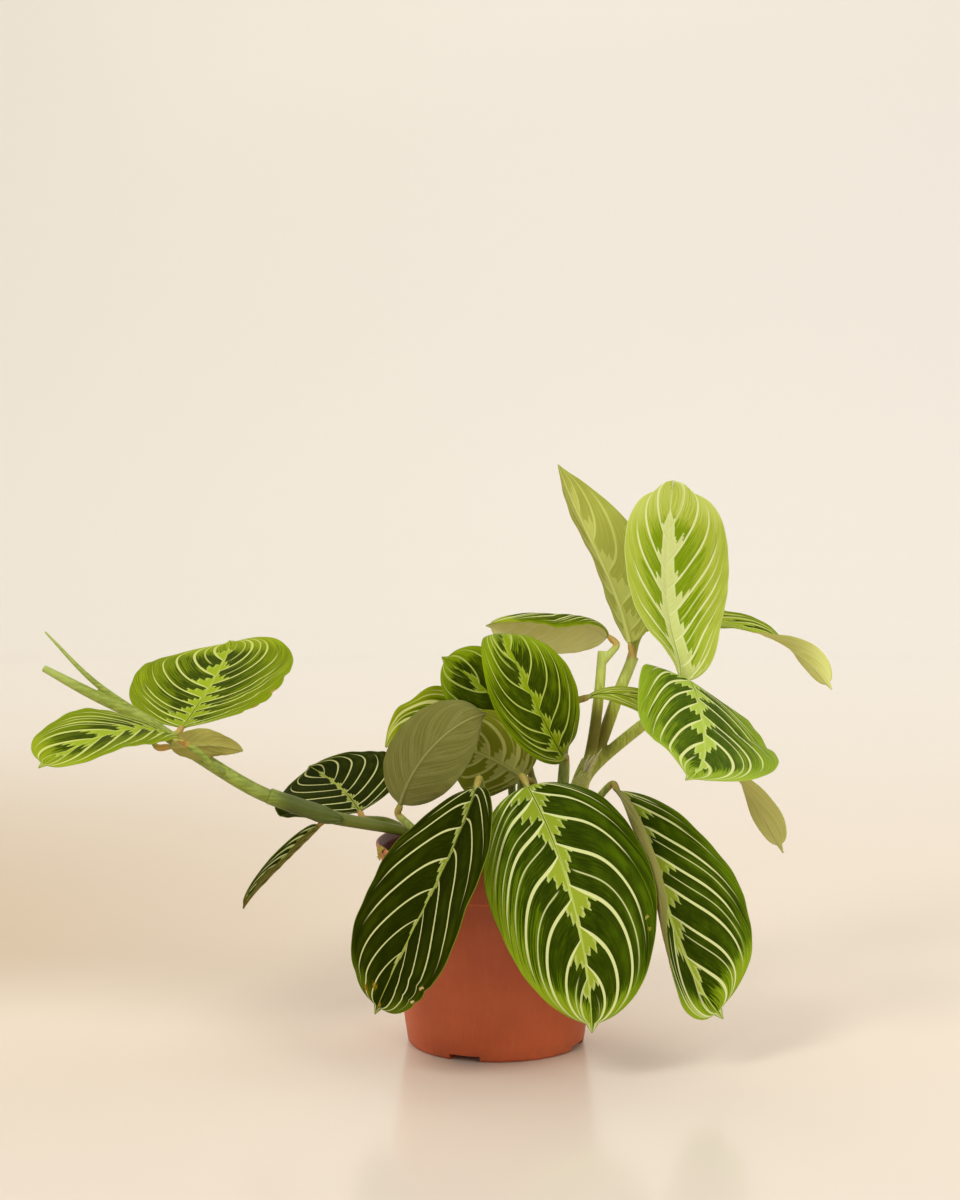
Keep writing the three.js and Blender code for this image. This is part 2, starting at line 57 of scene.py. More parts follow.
# -------- dimensions, in mm
POT_HEIGHT = 102.0
POT_WALL = 1.4
LIP_RADIUS = 60.0
LIP_HEIGHT = 2.2
LIP_EDGE = 0.5
BAND_TOP_RADIUS = 57.8
BAND_FOOT_RADIUS = 56.5
BAND_FOOT_Z = 81.5
BODY_TOP_RADIUS = 55.6
BODY_FOOT_RADIUS = 44.3
FOOT_ROUND = 1.3
FLOOR_RISE = 3.0
FLOOR_TOP = 4.6
FOOT_RING_INNER = 36.0
HUB_RADIUS = 22.0
STEP_SLOPE = 0.6
CORNER_ROUND = 0.7
NOTCH_COUNT = 4
NOTCH_WIDTH = 16.0
NOTCH_REACH = (34.0, 50.0)
NOTCH_FIRST_ANGLE = -111.0
DRAIN_COUNT = 6
DRAIN_RADIUS = 4.0
DRAIN_CIRCLE = 29.0
DRAIN_FIRST_ANGLE = 30.0
POT_SIDES = 192

SOIL_TOP = 95.0
SOIL_BUMP = 1.5
SOIL_REACH = 54.0
SOIL_GAP = 0.3
SOIL_RINGS = 64
SOIL_SIDES = 180
CRUMB_COUNT = 620
CRUMB_SEED = 7

BLADE_THICKNESS = 0.5
BLADE_ROWS = 84
BLADE_SEAT = 0.6
RIB_HALF_WIDTH = 1.0
MARGIN_HALF_WIDTH = 0.2
RIPPLE = 0.25
QUILT_HEIGHT = 0.3
GROOVE_DEPTH = 0.35
SPINE_HEIGHT = 0.7

JOINT_RADIUS = 1.7
JOINT_LENGTH = 6.0
STALK_RADIUS = 1.9
STEM_STEP = 1.5
STALK_STEP = 0.8
FUSING_CELL = 0.5
FUSING_ROUNDS = 5

SHEATH_THICKNESS = 0.3
SCRAP_THICKNESS = 0.35
SCRAP_ANGLE = -160.5
SCRAP_HALF_WIDTH = 3.4

# Where a lateral vein that leaves the rib at w has got to, at v across the half blade:
# u = w + VEIN_OUT * v + VEIN_SWEEP * v * u + VEIN_HOOK * v ** 4.
VEIN_OUT = 0.086
VEIN_SWEEP = 0.428
VEIN_HOOK = 0.153
VEIN_SPREAD = 0.55
# The veins end at this share of the way across, and fade out between these shares along the rib.
VEIN_END = 0.8
VEIN_FADE = (0.74, 0.86)
# Over how many mm each line or edge of the pattern fades.
THIN_VEIN = (0.12, 0.45)
RIB_GROOVE = (0.12, 0.4)
MARGIN_LINE = (0.2, 0.55)
LOBE_EDGE = (-0.2, 0.2)
LOBE_RIM = (0.4, 1.5)

# Each half of a blade waves: how far, how often from base to tip, and from where in its beat.
PLAIN_WAVE = ((1, 2, 0), (1, 2, 0.3))
BROAD_WAVE = ((1, 2.5, 0), (1, 2.5, 0.3))
FINE_WAVE = ((0.6, 2, 0), (0.6, 2, 0.3))

# Blades, in mm and degrees. A place on a blade is u from base to tip and v from -1 to 1 across;
# what is given twice is for the half below v = 0 and then the half above it. rib: four points on
# the midrib. width: the widest. shape: how slowly the outline opens from the base and closes to
# the tip. sides: each half's share of its width. face: where the upper face looks, from base to
# tip. fold and curl: how each half rises from the rib and how much it bends on by its margin, at
# base, middle and tip. glow: how far lime streaks come in from each margin. tip_glow: where they
# start and cover the tip. cuts: nicks, as half, u, depth and spread. marks: dry spots, as u, v,
# radius and sRGB colour. horns: two lobes beside the tip. beak: the drawn-out tip's share of the
# width. body_end: where the oval ends. petiole: the points of the stalk that the soil carries.
BLADE_DEFAULTS = dict(
    shape=(0.5, 0.62), sides=(1, 1), glow=(0.5, 0.5), tip_glow=(0.76, 0.94), horns=0.0, beak=0.22,
    body_end=0.965, fold=((5, 5, 5), (5, 5, 5)), curl=((0, 0, 0), (0, 0, 0)), wave=PLAIN_WAVE,
    petiole=(), cuts=(), marks=(),
)

LEAVES = {
    "front_centre": dict(
        look="mature", width=80, shape=(0.46, 0.56), sides=(1.02, 0.95), glow=(0.15, 0.95),
        rib=((15, -46, 138), (31, -74, 105), (41, -88, 67), (45, -92, 28)),
        face=((0.05, -0.75, 0.65), (0, -0.97, 0.25)), fold=((8, 4, 0), (8, 4, 0)),
        curl=((-25, -25, -20), (-25, -30, -20)), wave=BROAD_WAVE,
        petiole=((10, -10, 80), (11, -16, 108), (12, -30, 133)),
        marks=((0.62, -0.86, 1.0, (150, 140, 60)), (0.66, -0.9, 0.8, (140, 128, 40))),
    ),
    "front_left": dict(
        look="dark", width=68, shape=(0.6, 0.46), sides=(0.95, 0.93), glow=(0.1, 0.15),
        rib=((-10, -42, 136), (-24, -68, 105), (-42, -80, 70), (-58, -80, 34)),
        face=((-0.3, -0.8, 0.4), (-0.45, -0.9, 0.1)), fold=((50, 45, 30), (8, 5, 5)),
        curl=((-30, -25, -20), (-15, -20, -20)), wave=BROAD_WAVE,
        petiole=((-8, -14, 80), (-8, -18, 108), (-7, -28, 131)),
        cuts=((0, 0.8, 1.6, 0.014), (0, 0.86, 1.2, 0.01), (1, 0.9, 0.8, 0.02)),
        marks=(
            (0.9, 0.3, 1.5, (138, 112, 20)), (0.93, 0.6, 1.8, (120, 98, 16)),
            (0.955, -0.1, 1.2, (150, 118, 24)), (0.8, -0.9, 1.1, (190, 166, 108)),
            (0.86, -0.93, 0.9, (206, 180, 124)),
        ),
    ),
    "front_right": dict(
        look="mature", width=78, shape=(0.7, 0.42), sides=(1.0, 0.52), glow=(0.5, 0.6),
        rib=((60, -22, 131), (75, -52, 101), (89, -64, 62), (109, -66, 28)),
        face=((0.15, -0.8, 0.6), (0.2, -0.9, 0.2)), fold=((5, 5, 5), (15, 20, 8)),
        curl=((-20, -20, -20), (150, 120, 0)), wave=BROAD_WAVE,
        petiole=((30, -14, 80), (38, -13, 104), (50, -13, 125)),
    ),
    "centre": dict(
        look="glossy", width=46, shape=(0.85, 1.05), sides=(0.8, 0.93), glow=(0.3, 0.4),
        tip_glow=(0.45, 0.9),
        rib=((33, -25, 149), (22, -40, 171), (7, -37, 202), (3, -10, 204)),
        face=((0.1, -0.95, 0.3), (0.1, -0.9, 0.4), (0, -0.2, 1)), fold=((15, 5, 0), (15, 10, 0)),
        curl=((-20, -20, -10), (-20, -20, -10)),
        petiole=((26, -4, 80), (30, -8, 108), (34, -18, 136)),
    ),
    "centre_back": dict(
        look="glossy", width=42, shape=(0.5, 0.5), glow=(0.45, 0.5),
        rib=((16, -2, 142), (6, 0, 165), (-9, 2, 181), (-27, 4, 194)),
        face=((-0.2, -0.85, 0.5), (-0.1, -0.8, 0.6)),
        petiole=((16, 4, 80), (19, 2, 108), (19, -1, 130)),
    ),
    "left_underside": dict(
        look="grey_back", width=48, shape=(0.5, 0.55), sides=(0.78, 0.76),
        rib=((-47, -28, 126), (-38, -38, 147), (-23, -42, 164), (-5, -36, 172)),
        face=((0.2, 0.95, -0.2), (0.2, 0.95, -0.1)), fold=((10, 5, 5), (10, 5, 5)),
        curl=((0, 10, 30), (0, 10, 30)), wave=FINE_WAVE,
        petiole=((-20, -20, 80), (-30, -24, 102), (-44, -26, 116)),
    ),
    "left_wavy": dict(
        look="wavy", width=36, shape=(0.5, 0.9),
        rib=((8, 8, 141), (-14, 10, 160), (-36, 8, 163), (-55, 1, 149)),
        face=((0, -0.6, 0.8), (-0.1, -0.6, 0.8)), fold=((15, 15, 15), (15, 15, 15)),
        wave=((3, 3, 0), (2.5, 5, 0.25)),
        petiole=((2, 14, 80), (8, 12, 110), (9, 8, 136)),
    ),
    "left_olive": dict(
        look="olive_back", width=46,
        rib=((14, -12, 136), (3, -18, 144), (-10, -18, 150), (-28, -14, 153)),
        face=((0, 0.95, 0.2), (0, 0.95, 0.2)), wave=FINE_WAVE,
        petiole=((2, -3, 80), (10, -6, 108), (18, -9, 130)),
    ),
    "left_dark": dict(
        look="dark", width=76, sides=(0.9, 0.8), glow=(0.0, 0.1),
        rib=((-68, -6, 118), (-76, 14, 124), (-86, 34, 128), (-96, 50, 131)),
        face=((-0.1, -0.65, 0.8), (-0.1, -0.6, 0.8)),
    ),
    "left_hanging": dict(
        look="dark", width=17, sides=(1, 0.6), glow=(0.1, 0.1),
        rib=((-88, -13, 112), (-100, -10, 99), (-116, -8, 82), (-126, -8, 69)),
        face=((-0.7, -0.5, 0.5), (-0.7, -0.5, 0.5)), fold=((50, 50, 50), (50, 50, 50)),
        marks=((0.97, 0.0, 6.0, (112, 104, 42)),),
    ),
    "far_upper": dict(
        look="lime", width=81, shape=(0.5, 0.45),
        rib=((-154, -22, 163), (-146, 6, 174), (-139, 34, 186), (-137, 58, 195)),
        face=((-0.2, -0.55, 0.85), (-0.2, -0.55, 0.85)),
        cuts=(
            (1, 0.16, 2.0, 0.02), (1, 0.24, 1.4, 0.016), (1, 0.34, 1.2, 0.02),
            (1, 0.48, 1.0, 0.03),
        ),
        marks=((0.35, 0.985, 1.6, (168, 140, 60)), (0.2, 0.985, 1.3, (150, 120, 50))),
    ),
    "far_lower": dict(
        look="lime", width=60, shape=(0.5, 0.38), sides=(0.6, 0.82),
        rib=((-155, -39, 160), (-174, -66, 169), (-194, -91, 166), (-212, -109, 158)),
        face=((0.05, -0.12, 1), (-0.1, -0.2, 1)), fold=((0, 0, 5), (13, 13, 13)),
        curl=((-15, -15, -10), (0, 0, 0)),
    ),
    "far_young": dict(
        look="shoot", width=15, shape=(0.6, 0.95),
        rib=((-159, -27, 154), (-148, -28, 155), (-136, -28, 155), (-124, -27, 152)),
        face=((0, 0.9, 0.3), (0, 0.9, 0.3)),
    ),
    "top_folded": dict(
        look="young", width=52, shape=(0.6, 0.95), sides=(0.85, 0.5),
        rib=((67, 13, 200), (57, 22, 231), (44, 26, 258), (31, 16, 289)),
        face=((-0.1, 0.95, 0.1), (0.1, 0.95, 0.1)), fold=((5, 5, 5), (60, 60, 50)),
        curl=((0, 0, 0), (20, 20, 20)), wave=FINE_WAVE,
    ),
    "top_bright": dict(
        look="bright", width=60, shape=(0.5, 0.36), sides=(0.8, 1.04), horns=5.0, beak=0.0,
        body_end=1.0,
        rib=((92.5, 9, 181), (89.5, 11, 199), (85.5, 13, 222), (87.3, 8.3, 277)),
        face=((0.1, -0.95, 0.3), (0.1, -0.9, 0.3)), fold=((70, 38, 0), (5, 5, 5)),
        curl=((10, -10, 0), (0, -20, -20)), wave=FINE_WAVE,
    ),
    "right_back": dict(
        look="lime", width=29, shape=(0.7, 0.5), sides=(0.72, 0.8),
        rib=((80, 27, 207), (106, 34, 209), (141, 38, 199), (171, 36, 173)),
        face=((0.1, -0.5, 0.85), (0.15, -0.25, 0.92), (0.5, 0.95, 0.3)),
        curl=((0, 20, 20), (0, 20, 60)), wave=FINE_WAVE,
    ),
    "right_cupped": dict(
        look="fresh", width=74, shape=(0.45, 0.42), sides=(1.02, 0.85),
        rib=((95, -14, 179), (96, -36, 184), (99, -66, 164), (88, -96, 150)),
        face=((0.6, 0.1, 0.8), (0.6, -0.35, 0.7), (0.1, -0.5, 0.85)),
        fold=((0, 5, 25), (-10, -20, 25)), curl=((0, 0, 0), (-10, -10, 0)), wave=FINE_WAVE,
    ),
    "right_low": dict(
        look="lime", width=27, shape=(0.9, 0.5), sides=(0.75, 1.0),
        rib=((46, -14, 177), (74, -15, 174), (110, -11, 147), (143, -6, 97)),
        face=((0, -0.85, 0.5), (0.2, -0.4, 0.88), (0.6, 0.8, 0.1)), fold=((0, 0, 5), (0, 10, 5)),
        curl=((0, 40, -30), (0, 40, -10)), wave=FINE_WAVE,
        petiole=((30, 10, 80), (31, 2, 110), (34, -9, 150), (38, -14, 171)),
    ),
    "top_left": dict(
        look="pale_back", width=48, shape=(0.5, 0.5), sides=(0.82, 0.8),
        rib=((56, 9, 204), (40, 12, 211), (17, 8, 213), (-5, 2, 210)),
        face=((0, 0.9, 0.25), (0, 0.9, 0.25)), fold=((-20, -35, -20), (5, 5, 5)),
        curl=((-85, -92, -90), (0, 0, 0)), wave=FINE_WAVE,
    ),
}

# Each blade's number makes its pattern its own.
for number, blade in enumerate(LEAVES.values(), 1):
    blade.update({**BLADE_DEFAULTS, **blade, "seed": float(number)})

# Stems: the runs of each, as x, y, z, radius, and the run up to each blade that it carries.
STEMS = {
    "stem_left": dict(
        runs=(
            ((-8, -6, 82, 2.4), (-24, -10, 100, 2.4), (-45, -13, 109, 2.5), (-65, -15, 113.5, 3),
             (-83, -16, 117.5, 3.5), (-115, -18, 129, 3.6), (-146, -20, 148, 3.4),
             (-175, -20, 168, 3)),
            ((-172, -20, 166, 2.8), (-200, -20, 180, 2.7), (-222, -20, 192, 1.8)),
            ((-166, -20, 163, 2), (-197, -20, 185, 1.5), (-221, -20, 210, 0.6)),
        ),
        leaves={
            "left_dark": ((-40, -12.5, 107.5, 1.8), (-54, -10, 114, 1.7)),
            "left_hanging": ((-83, -16, 117, 1.8),),
            "far_upper": ((-160, -20, 158.5, 1.8), (-158, -29, 160.5, 1.6)),
            "far_lower": ((-134, -19, 140, 1.8), (-137, -31, 143, 1.8), (-144, -35, 152, 1.8)),
            "far_young": ((-166, -20, 162, 1.5), (-168, -25, 156, 1.2)),
        },
    ),
    "stem_right": dict(
        runs=(
            ((36, 8, 80, 4), (39, 6, 110, 4.2), (42, 4, 130, 4.4), (46, 4, 142, 3.4)),
            ((41, 3, 126, 3), (47, 2, 145, 3), (51, 3, 173, 2.7), (53, 5, 197, 2.4)),
            ((42, 5, 128, 3.2), (52, 8, 149, 3.2), (62, 12, 176, 3.1), (69, 14, 193, 2.8)),
            ((41, 4, 124, 3.2), (47, 6, 136, 3.1), (78, 13, 162, 3), (90, 12, 172, 2.6)),
        ),
        leaves={
            "top_left": ((52.5, 4.5, 191, 2.2), (57, 4, 196, 1.9)),
            "top_folded": ((64, 12.5, 181, 2), (68, 11.5, 190, 1.8)),
            "right_back": ((67, 13.5, 189, 2.6), (71, 21, 201, 2)),
            "top_bright": ((88, 12, 170.5, 2.4),),
            "right_cupped": ((86, 12, 169, 2), (92, 3, 176, 1.8)),
        },
    ),
}

# Dry pieces, as runs of x, y, z, radius, and the scrap's fall over the lip as radius and height.
FORK_SHEATH = ((40.5, 4, 122, 4.3), (43, 3.6, 131, 4.2), (47, 4.2, 138, 3.7), (52, 6, 143, 3.4))
NODE_SHEATH = (
    (-112, -17.9, 127.9, 3.6), (-97, -17, 122.4, 3.6), (-84, -16, 117.8, 3.5),
    (-76, -15.6, 115.8, 3.1),
)
FIBRES = {
    "fibres_fork": (
        ((45.5, -0.5, 137, 0.6), (48, -2.6, 142, 0.5), (52.5, -3, 149, 0.2)),
        ((44.5, -0.5, 138, 0.6), (46, -2.6, 142, 0.5), (49, -3, 146, 0.2)),
        ((43.6, -0.3, 137, 0.6), (44.6, -2.4, 142, 0.5), (46.5, -3, 146, 0.2)),
    ),
    "fibres_stem": (
        ((-40, -14.8, 108.6, 0.55), (-44, -17, 112, 0.45), (-50, -18, 117, 0.15)),
        ((-37, -14.6, 108, 0.5), (-42, -17.4, 113, 0.4), (-46, -18.4, 119, 0.12)),
    ),
}
SCRAP_FALL = (
    (56.4, 99.4), (57.6, 101.6), (59.2, 102.5), (60.6, 101.6), (60.8, 99.6), (60.6, 98.2),
    (61.4, 97.0),
)

# Soft panels of light: where each stands and looks, its size in metres, power and colour.
PANELS = {
    "key": ((1.5, -1.6, 1.5), (0, 0, 0.15), (1.7, 1.7), 27.0, (1.0, 0.975, 0.93)),
    "fill": ((-1.15, -1.7, 1.75), (0, 0, 0.15), (0.7, 0.7), 27.0, (1.0, 0.97, 0.925)),
    "back": ((0.2, 1.0, 2.2), (0, 0.4, 0.1), (2.0, 1.2), 10.0, (1.0, 0.98, 0.95)),
}
ROOM_COLOUR = (1.0, 0.97, 0.93, 1.0)
ROOM_LIGHT = 0.56
CAMERA_AT = (-0.008, -1.5, 0.402)
CAMERA_DOWN = 6.8
LENS = 91.5
SENSOR_WIDTH = 36.0

# The sweep behind the plant, in metres.
SWEEP_HALF_WIDTH = 6.0
SWEEP_FRONT = -4.0
SWEEP_BEND_FROM = 1.4
SWEEP_BEND = 1.2
SWEEP_TOP = 5.0
SWEEP_STEPS = 24


# -------- looks of the blades
# In sRGB colours and mm. dark: the green between the veins near the rib. green and lime: the
# streaks towards the margin. feather: the lobes along the rib. back: the underside. dark_reach:
# how far across the half blade the dark green goes. lobe: how far the feather's lobes reach.
# band: its least width. veins: how close the lateral veins are. thin: the share of gaps with a
# thin vein in them. sheen: the gloss. through: how much the underside shows the upper pattern,
# painted as light shining through the blade.
GREEN_FACE = dict(
    dark=(28, 42, 0), green=(88, 114, 6), lime=(140, 162, 32), feather=(142, 158, 46),
    vein=(210, 215, 148), rib=(178, 192, 96), dark_reach=0.95, lobe=8.5, band=0.8, veins=10.5,
    vein_width=1.3, thin=0.5, sheen=0.1, back=(150, 146, 86), back_dark=(120, 118, 56),
    back_vein=(176, 170, 108), through=0.5,
)
LIME_FACE = dict(
    dark=(44, 58, 1), green=(104, 122, 8), lime=(146, 162, 30), feather=(148, 168, 40),
    vein=(198, 205, 114), rib=(166, 182, 66), dark_reach=0.5, lobe=9.5, band=0.9, veins=12.5,
    vein_width=0.95, thin=0.25, sheen=0.03, back=(222, 224, 138), back_dark=(198, 204, 104),
    back_vein=(230, 232, 158), through=0.35,
)
LOOKS = {
    "mature": GREEN_FACE,
    "dark": dict(
        GREEN_FACE, dark=(26, 34, 0), green=(60, 70, 4), lime=(88, 104, 12),
        feather=(134, 146, 42), vein=(202, 204, 138), rib=(156, 166, 70), dark_reach=1.1, lobe=2.6,
        band=0.35, vein_width=0.9, thin=0.0, sheen=0.02, back=(110, 112, 50),
        back_dark=(80, 84, 26), back_vein=(150, 148, 84), through=0.7,
    ),
    "glossy": dict(
        GREEN_FACE, dark=(29, 43, 0), green=(104, 125, 8), lime=(126, 147, 14),
        feather=(124, 144, 12), vein=(172, 184, 86), rib=(122, 142, 20), dark_reach=0.78, lobe=4.8,
        band=0.4, vein_width=0.75, thin=0.1, veins=9.5,
    ),
    "lime": LIME_FACE,
    "wavy": dict(
        LIME_FACE, dark=(70, 88, 4), green=(120, 134, 10), lime=(152, 162, 20),
        vein=(206, 206, 124), veins=8.0, vein_width=1.5, lobe=5.0, back=(196, 190, 96),
        back_dark=(172, 168, 66), back_vein=(210, 206, 120),
    ),
    "fresh": dict(
        GREEN_FACE, dark=(46, 68, 2), green=(118, 144, 18), lime=(152, 174, 52),
        feather=(164, 186, 74), vein=(210, 216, 144), dark_reach=0.68, lobe=9.0, veins=12.0,
        vein_width=1.15, thin=0.2, back=(200, 194, 112), back_dark=(176, 172, 84),
        back_vein=(214, 208, 134), through=0.4,
    ),
    # Painted light: a lime blade made paler all over, as if lit through from behind.
    "bright": dict(
        LIME_FACE, dark=(112, 140, 6), green=(158, 174, 52), lime=(188, 198, 96),
        feather=(206, 214, 142), vein=(218, 224, 160), rib=(210, 218, 146), band=3.2, veins=10.0,
        vein_width=1.1, thin=0.2, sheen=0.15, back=(204, 206, 112), back_dark=(188, 194, 86),
        back_vein=(220, 222, 138), through=0.5,
    ),
    "young": dict(
        LIME_FACE, dark=(108, 126, 20), green=(152, 166, 44), lime=(174, 184, 66),
        feather=(196, 202, 104), vein=(208, 212, 128), rib=(204, 208, 120), dark_reach=0.45,
        lobe=8.0, band=1.0, veins=9.0, vein_width=1.0, thin=0.1, sheen=0.1, back=(180, 188, 84),
        back_dark=(160, 164, 72), back_vein=(208, 214, 120), through=0.8,
    ),
    "shoot": dict(
        LIME_FACE, back=(166, 160, 84), back_dark=(150, 144, 66), back_vein=(178, 172, 100),
        through=0.15,
    ),
    "grey_back": dict(
        GREEN_FACE, back=(126, 125, 68), back_dark=(92, 92, 36), back_vein=(142, 141, 84),
        through=0.22,
    ),
    "olive_back": dict(
        GREEN_FACE, back=(160, 166, 50), back_dark=(126, 132, 30), back_vein=(204, 204, 116),
        through=1.0,
    ),
    # A pale underside, painted paler still as if lit where its own curled margin shades it.
    "pale_back": dict(
        LIME_FACE, dark=(44, 58, 2), vein=(200, 204, 132), dark_reach=0.9, back=(248, 244, 168),
        back_dark=(234, 230, 138), back_vein=(250, 248, 186), through=0.45,
    ),
}
LEAF_SHEEN = (0.85, 1.0, 0.15, 1.0)
STEM_GREEN = ((146, 160, 62), (114, 130, 38))
OLIVE_JOINT = (122, 122, 46)
# How fine a stem's streaks are, per mm along x, y and z.
LEVEL_STREAKS = (0.08, 0.8, 0.8)
UPRIGHT_STREAKS = (0.9, 0.9, 0.05)


# -------- formulas over a surface
def operation(kind, swapped=False):
    """One step of a formula, as a method of Field."""

    def step(field, *others):
        node = field.tree.nodes.new("ShaderNodeMath")
        node.operation = kind
        values = (*others, field) if swapped else (field, *others)
        for slot, value in zip(node.inputs, values):
            feed(field.tree, slot, value)
        return Field(field.tree, node.outputs[0])

    return step


class Field:
    """A number that varies over a surface, so that a pattern is written as a formula."""

    def __init__(self, tree, socket):
        self.tree = tree
        self.socket = socket

    __add__ = operation("ADD")
    __radd__ = operation("ADD", swapped=True)
    __sub__ = operation("SUBTRACT")
    __rsub__ = operation("SUBTRACT", swapped=True)
    __mul__ = operation("MULTIPLY")
    __rmul__ = operation("MULTIPLY", swapped=True)
    __truediv__ = operation("DIVIDE")
    __rtruediv__ = operation("DIVIDE", swapped=True)
    __pow__ = operation("POWER")
    __gt__ = operation("GREATER_THAN")
    __lt__ = operation("LESS_THAN")
    absolute = operation("ABSOLUTE")
    floor = operation("FLOOR")
    fract = operation("FRACT")
    sine = operation("SINE")
    root = operation("SQRT")
    at_least = operation("MAXIMUM")
    at_most = operation("MINIMUM")

    def rises(self, low, high):
        """0 below low, 1 above high, and smooth in between."""
        node = self.tree.nodes.new("ShaderNodeMapRange")
        node.interpolation_type = "SMOOTHSTEP"
        for name, value in (("Value", self), ("From Min", low), ("From Max", high)):
            feed(self.tree, node.inputs[name], value)
        return Field(self.tree, node.outputs["Result"])

    def falls(self, low, high):
        return 1.0 - self.rises(low, high)


def linear(colour):
    """An sRGB colour, 0 to 255, as linear light."""
    shares = [value / 255 for value in colour]
    return (*(c / 12.92 if c <= 0.04045 else ((c + 0.055) / 1.055) ** 2.4 for c in shares), 1.0)


def feed(tree, slot, value):
    """Gives an input a field, a colour made of fields, a number or an sRGB colour."""
    if isinstance(value, Field):
        value = value.socket
    if isinstance(value, bpy.types.NodeSocket):
        tree.links.new(value, slot)
    else:
        slot.default_value = linear(value) if isinstance(value, tuple) else value


def blend(mask, first, second):
    """The colour first where the mask is 0 and second where it is 1."""
    node = mask.tree.nodes.new("ShaderNodeMix")
    node.data_type = "RGBA"
    feed(mask.tree, node.inputs["Factor"], mask)
    feed(mask.tree, node.inputs[6], first)
    feed(mask.tree, node.inputs[7], second)
    return node.outputs[2]


def layered(colour, *layers):
    """The colour under layers of other colours, each laid on where its mask is above 0."""
    for mask, tint in layers:
        colour = blend(mask, colour, tint)
    return colour


def grain(x, y, z, detail=2.0):
    """Smooth noise from 0 to 1 at a point; x is a field, y and z are fields or numbers."""
    point = x.tree.nodes.new("ShaderNodeCombineXYZ")
    for slot, value in zip(point.inputs, (x, y, z)):
        feed(x.tree, slot, value)
    node = x.tree.nodes.new("ShaderNodeTexNoise")
    node.inputs["Scale"].default_value = 1.0
    node.inputs["Detail"].default_value = detail
    x.tree.links.new(point.outputs[0], node.inputs["Vector"])
    return Field(x.tree, node.outputs["Fac"])


def grain_over(spot, scale, detail=2.0):
    """Smooth noise over the object, of one scale or of one each along x, y and z."""
    scales = scale if isinstance(scale, tuple) else (scale, scale, scale)
    return grain(*(axis * size for axis, size in zip(spot, scales)), detail=detail)


def dice(value):
    """A random number from 0 to 1 for each value."""
    node = value.tree.nodes.new("ShaderNodeTexWhiteNoise")
    node.noise_dimensions = "1D"
    feed(value.tree, node.inputs["W"], value)
    return Field(value.tree, node.outputs["Value"])


def parts_of(tree, socket):
    """The numbers that make up a place, as fields."""
    split = tree.nodes.new("ShaderNodeSeparateXYZ")
    tree.links.new(socket, split.inputs[0])
    return [Field(tree, part) for part in split.outputs]


def uv_pair(tree, name):
    node = tree.nodes.new("ShaderNodeUVMap")
    node.uv_map = name
    return parts_of(tree, node.outputs["UV"])[:2]


def place(tree):
    """The point in the object's own frame, in mm."""
    node = tree.nodes.new("ShaderNodeTexCoord")
    return [part * (1 / MM) for part in parts_of(tree, node.outputs["Object"])]


def attribute(tree, name):
    node = tree.nodes.new("ShaderNodeAttribute")
    node.attribute_name = name
    return Field(tree, node.outputs["Fac"])


def new_material(name):
    material = bpy.data.materials.new(name)
    material.use_nodes = True
    return material


def finish_material(material, colour, roughness, gloss, relief=None):
    """Sets a material's look; relief is a height field, its strength and what 1 is in mm."""
    tree = material.node_tree
    shader = tree.nodes["Principled BSDF"]
    feed(tree, shader.inputs["Base Color"], colour)
    feed(tree, shader.inputs["Roughness"], roughness)
    shader.inputs["Specular IOR Level"].default_value = gloss
    if relief:
        height, strength, depth = relief
        bump = tree.nodes.new("ShaderNodeBump")
        bump.inputs["Strength"].default_value = strength
        bump.inputs["Distance"].default_value = depth * MM
        feed(tree, bump.inputs["Height"], height)
        tree.links.new(bump.outputs["Normal"], shader.inputs["Normal"])
    return material


# -------- leaf materials
def vein_offsets(seed):
    """Where the lateral veins start on the two halves, as shares of their spacing."""
    shift = 0.37 * ((seed * 0.618) % 1)
    return 0.28 + shift, 0.6 + shift


def vein_phase(u, reach, offset, seed, rate, sine):
    """A count that is whole on each lateral vein; it works on numbers and on fields."""
    w = u - (VEIN_OUT * reach + VEIN_SWEEP * reach * u + VEIN_HOOK * reach ** 4.0)
    count = rate * w / (1.0 + VEIN_SPREAD * w)
    drift = 0.2 * sine(7.0 * w + seed) + 0.06 * sine(9.0 * reach + 5.0 * w + 2.0 * seed)
    return w, count + drift - offset


def by_side(pair, right):
    """The first value where v is below 0 and the second where it is above."""
    return pair[0] + (pair[1] - pair[0]) * right


def find_place(m, tree, leaf, length):
    """Where a point is: u, v and reach as shares, half and lateral in mm, and its gap's veins."""
    m.seed = leaf["seed"]
    m.look = SimpleNamespace(**LOOKS[leaf["look"]])
    m.u, m.v = uv_pair(tree, "leaf")
    m.half = (uv_pair(tree, "span")[0] * 100.0).at_least(0.5)
    m.reach = m.v.absolute()
    m.right = m.v > 0.0
    m.lateral = m.reach * m.half
    offset = by_side(vein_offsets(m.seed), m.right)
    m.w, m.phase = vein_phase(m.u, m.reach, offset, m.seed, m.look.veins, Field.sine)
    m.gap = m.phase.floor()
    m.part = m.phase.fract()
    m.chance = dice(m.gap + m.right * 37.0 + m.seed * 11.3)
    m.chance_two = dice(m.gap + m.right * 53.0 + m.seed * 7.7)
    slope_u = (1.0 - VEIN_SWEEP * m.reach) / length
    slope_v = (VEIN_OUT + VEIN_SWEEP * m.u + 4.0 * VEIN_HOOK * m.reach ** 3.0) / m.half
    rate = m.look.veins / ((1.0 + VEIN_SPREAD * m.w) ** 2.0)
    m.per_mm = rate * (slope_u * slope_u + slope_v * slope_v).root()


